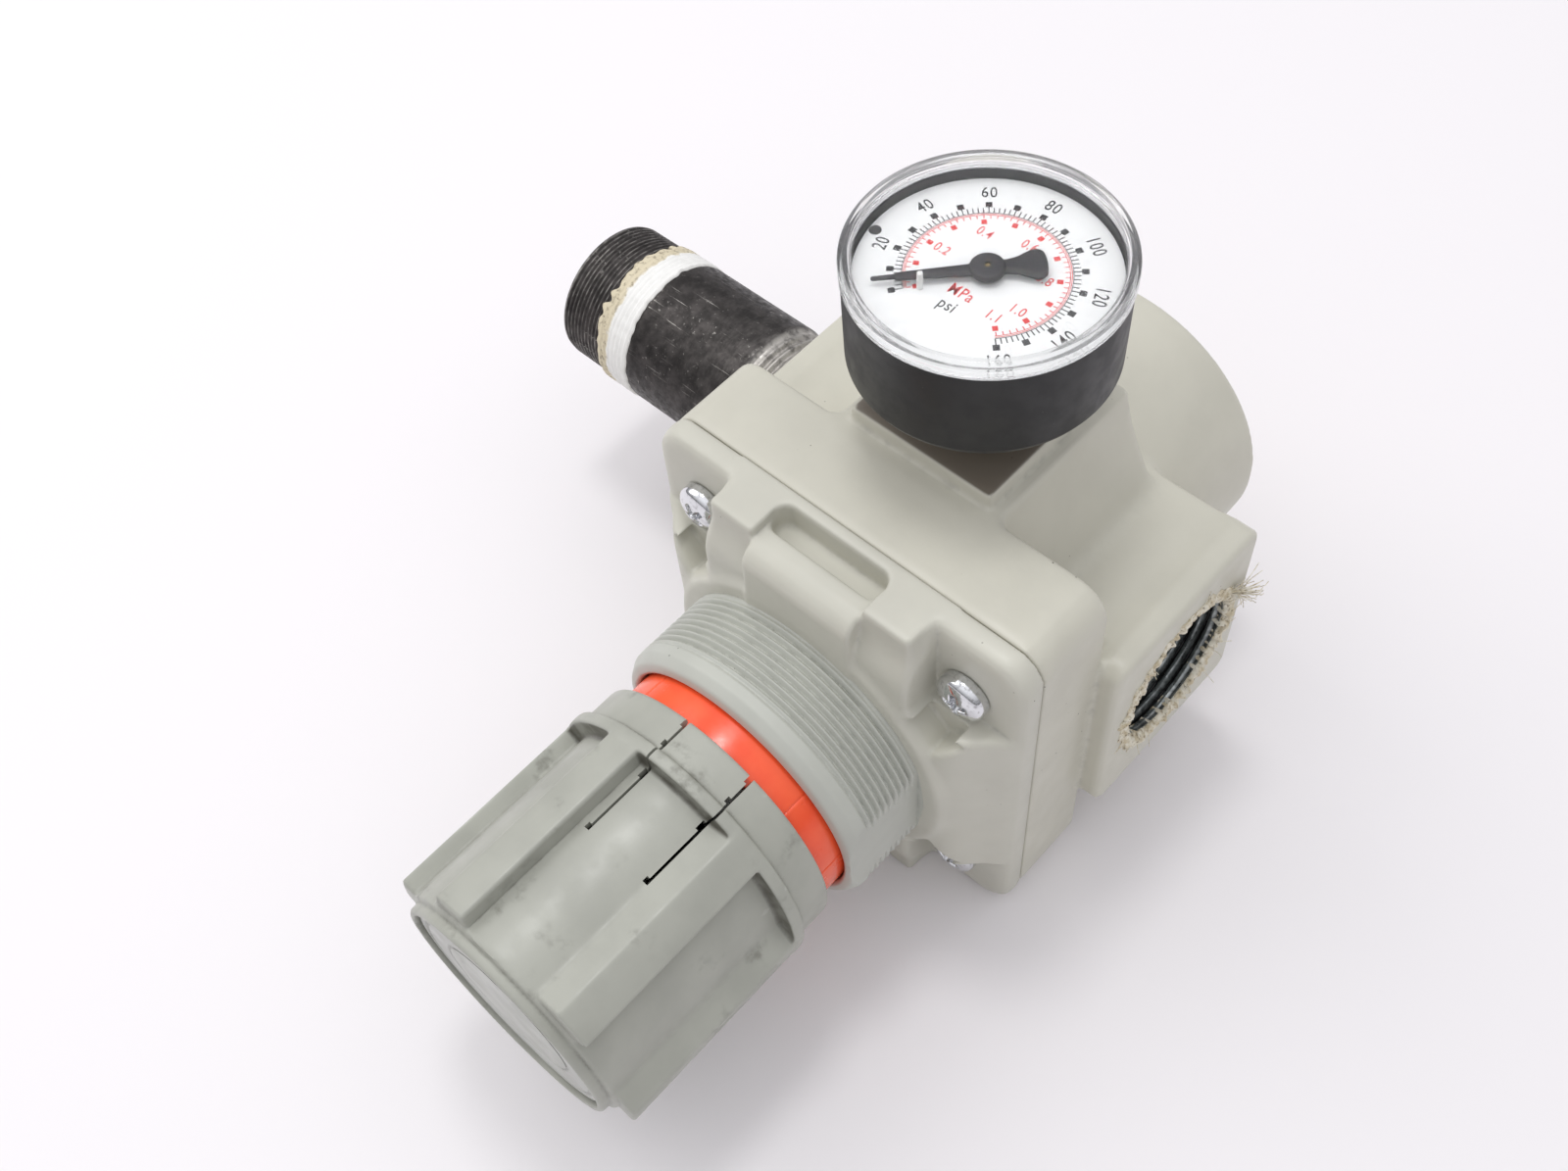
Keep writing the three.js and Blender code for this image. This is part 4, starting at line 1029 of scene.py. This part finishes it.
def loose_threads():
    """Loose threads of the old tape: a tuft at the collar's upper back, and short ones all round."""
    chance = np.random.default_rng(4)
    curve = bpy.data.curves.new("loose_threads", "CURVE")
    curve.dimensions = "3D"
    curve.bevel_depth = 0.075 * MM
    curve.bevel_resolution = 1
    count, in_tuft, steps = 90, 50, 9
    for n in range(count):
        tuft = n < in_tuft
        a = math.radians(chance.normal(36, 4) if tuft else chance.uniform(0, 360))
        length = chance.uniform(3.0, 7.5) if tuft else chance.uniform(1.0, 3.2)
        start = np.array([PORT_FACE + 0.4, 17.2 * math.cos(a), 17.2 * math.sin(a)])
        lean = np.array([0.5, 0.75, -0.15]) if tuft else np.array([0.32, math.cos(a), math.sin(a)])
        lean = lean + chance.normal(0, 0.16 if tuft else 0.35, 3)
        bend = chance.normal(0, 0.5, 3)
        spline = curve.splines.new("POLY")
        spline.points.add(steps - 1)
        for i, t in enumerate(np.linspace(0, 1, steps)):
            p = start + length * (lean * t + bend * t * t * 0.6)
            p[0] = min(max(p[0], PORT_FACE + 0.1), PORT_FACE + 4.6)
            spline.points[i].co = (*(p * MM + ORIGIN), 1.0)
    holder = put("loose_threads_curve", curve)
    mesh = baked(holder)
    bpy.data.objects.remove(holder)
    mesh.shade_smooth()
    mesh.materials.clear()
    mesh.materials.append(LOOKS["old_tape"])
    piece = put("loose_tape_threads", mesh)
    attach(piece, "base")


def guide_cap():
    """Cap screwed into the back end, with a slot for a spanner."""
    s = Space((-22.8, 24.8, -22.8), (22.8, 49.0, 22.8), 0.45)
    flange, plug = s.bar(21.7, (41.2, 47.8), r=0.7), s.bar(18.2, (38.3, 42))
    blank = union(0.3, flange, plug, s.bar(6.5, (26, 39)))
    groove = meet(s.bar(17.5, (47.2, 50)), -s.bar(15.5, (40, 50)), 0.2)
    for cut in (s.bar(3.7, (24, 42.6)), s.box((-12, 12), (44.9, 50), (-2, 2), 0.5), groove):
        blank = meet(blank, -cut, 0.4)
    add_piece("rear_guide_cap", s.surface(blank), "machined_brass", ["valve_guide_cap"], sharp=None)


# ---- what CAD already shows well
CAD_LOOKS = {
    "plain_steel": ["gauge_port_plug", "valve_spring", "regulating_spring", "adjusting_screw"],
    "machined_brass": ["gauge_socket", "relief_seat", "valve_stem", "spring_seat_nut", "bourdon_tube",
              "movement_plate", "sector_gear", "pinion_shaft"],
    "rubber": ["cap_seal", "diaphragm", "valve_seal"],
    "machined_aluminium": ["diaphragm_plate"],
}


def dress_cad_nodes():
    """Gives the CAD nodes that stay in sight inside their own metals, and the hidden ones plain steel."""
    shown = {node: look for look, nodes in CAD_LOOKS.items() for node in nodes}
    for name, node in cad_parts.items():
        if name in shown or node.hide_render:
            node.data.materials.clear()
            node.data.materials.append(LOOKS[shown.get(name, "plain_steel")])


# ---- stage
def floor():
    half = 12.0
    mesh = bpy.data.meshes.new("floor")
    corners = [(i * half, j * half, 0) for i, j in ((-1, -1), (1, -1), (1, 1), (-1, 1))]
    mesh.from_pydata(corners, [], [(0, 1, 2, 3)])
    look = Look("floor_white", 0.6)
    look.shader.inputs["Base Color"].default_value = (0.86, 0.835, 0.85, 1)
    mesh.materials.append(look.material)
    put("floor", mesh)


def area_light(name, place, size, power, colour):
    """A round lamp that faces the middle of the part."""
    data = bpy.data.lights.new(name, "AREA")
    data.shape = "DISK"
    data.size = size
    data.energy = power
    data.color = colour
    lamp = put(name, data)
    lamp.location = place
    lamp.rotation_euler = (Vector((0, 0, 0.04)) - Vector(place)).to_track_quat("-Z", "Y").to_euler()


def studio():
    """A pale sky, brighter overhead than at the horizon, and two lamps."""
    world = bpy.data.worlds.new("studio")
    world.use_nodes = True
    tree = world.node_tree
    background = tree.nodes["Background"]
    background.inputs["Color"].default_value = (0.97, 0.97, 1.0, 1)
    direction = tree.nodes.new("ShaderNodeTexCoord")
    height = tree.nodes.new("ShaderNodeSeparateXYZ")
    fade = tree.nodes.new("ShaderNodeMapRange")
    for socket, value in (("From Min", 0.0), ("From Max", 0.9), ("To Min", 0.22), ("To Max", 1.12)):
        fade.inputs[socket].default_value = value
    tree.links.new(direction.outputs["Generated"], height.inputs[0])
    tree.links.new(height.outputs["Z"], fade.inputs["Value"])
    tree.links.new(fade.outputs["Result"], background.inputs["Strength"])
    scene.world = world
    area_light("key", (-0.80, -0.20, 0.80), 1.00, 3.0, (1.0, 0.985, 0.96))
    area_light("overhead", (-0.12, 0.12, 1.00), 0.22, 1.7, (1.0, 1.0, 1.0))
    scene.view_settings.view_transform = "Standard"


def camera():
    """The photographer's place, worked out from the pipe's known size and the body's edges."""
    data = bpy.data.cameras.new("camera")
    data.sensor_width = 36.0
    data.lens = 38.54
    data.clip_start = 0.01
    azimuth, elevation, roll = (math.radians(angle) for angle in (48.31, 56.27, -6.77))
    turn = Matrix.Rotation(azimuth, 4, "Z") @ Matrix.Rotation(math.pi / 2 - elevation, 4, "X")
    turn = turn @ Matrix.Rotation(roll, 4, "Z")
    view = put("camera", data)
    view.matrix_world = Matrix.Translation((0.14724, -0.11780, 0.32711)) @ turn
    scene.camera = view


camera()
studio()
floor()
body_casting()
port_threads()
bonnet_casting()
bonnet_neck()
screws()
knob_shell()
end_disc()
ring()
gauge()
dial_scales()
pointer()
nipple()
wound_tape()
port_residue()
loose_threads()
guide_cap()
dress_cad_nodes()
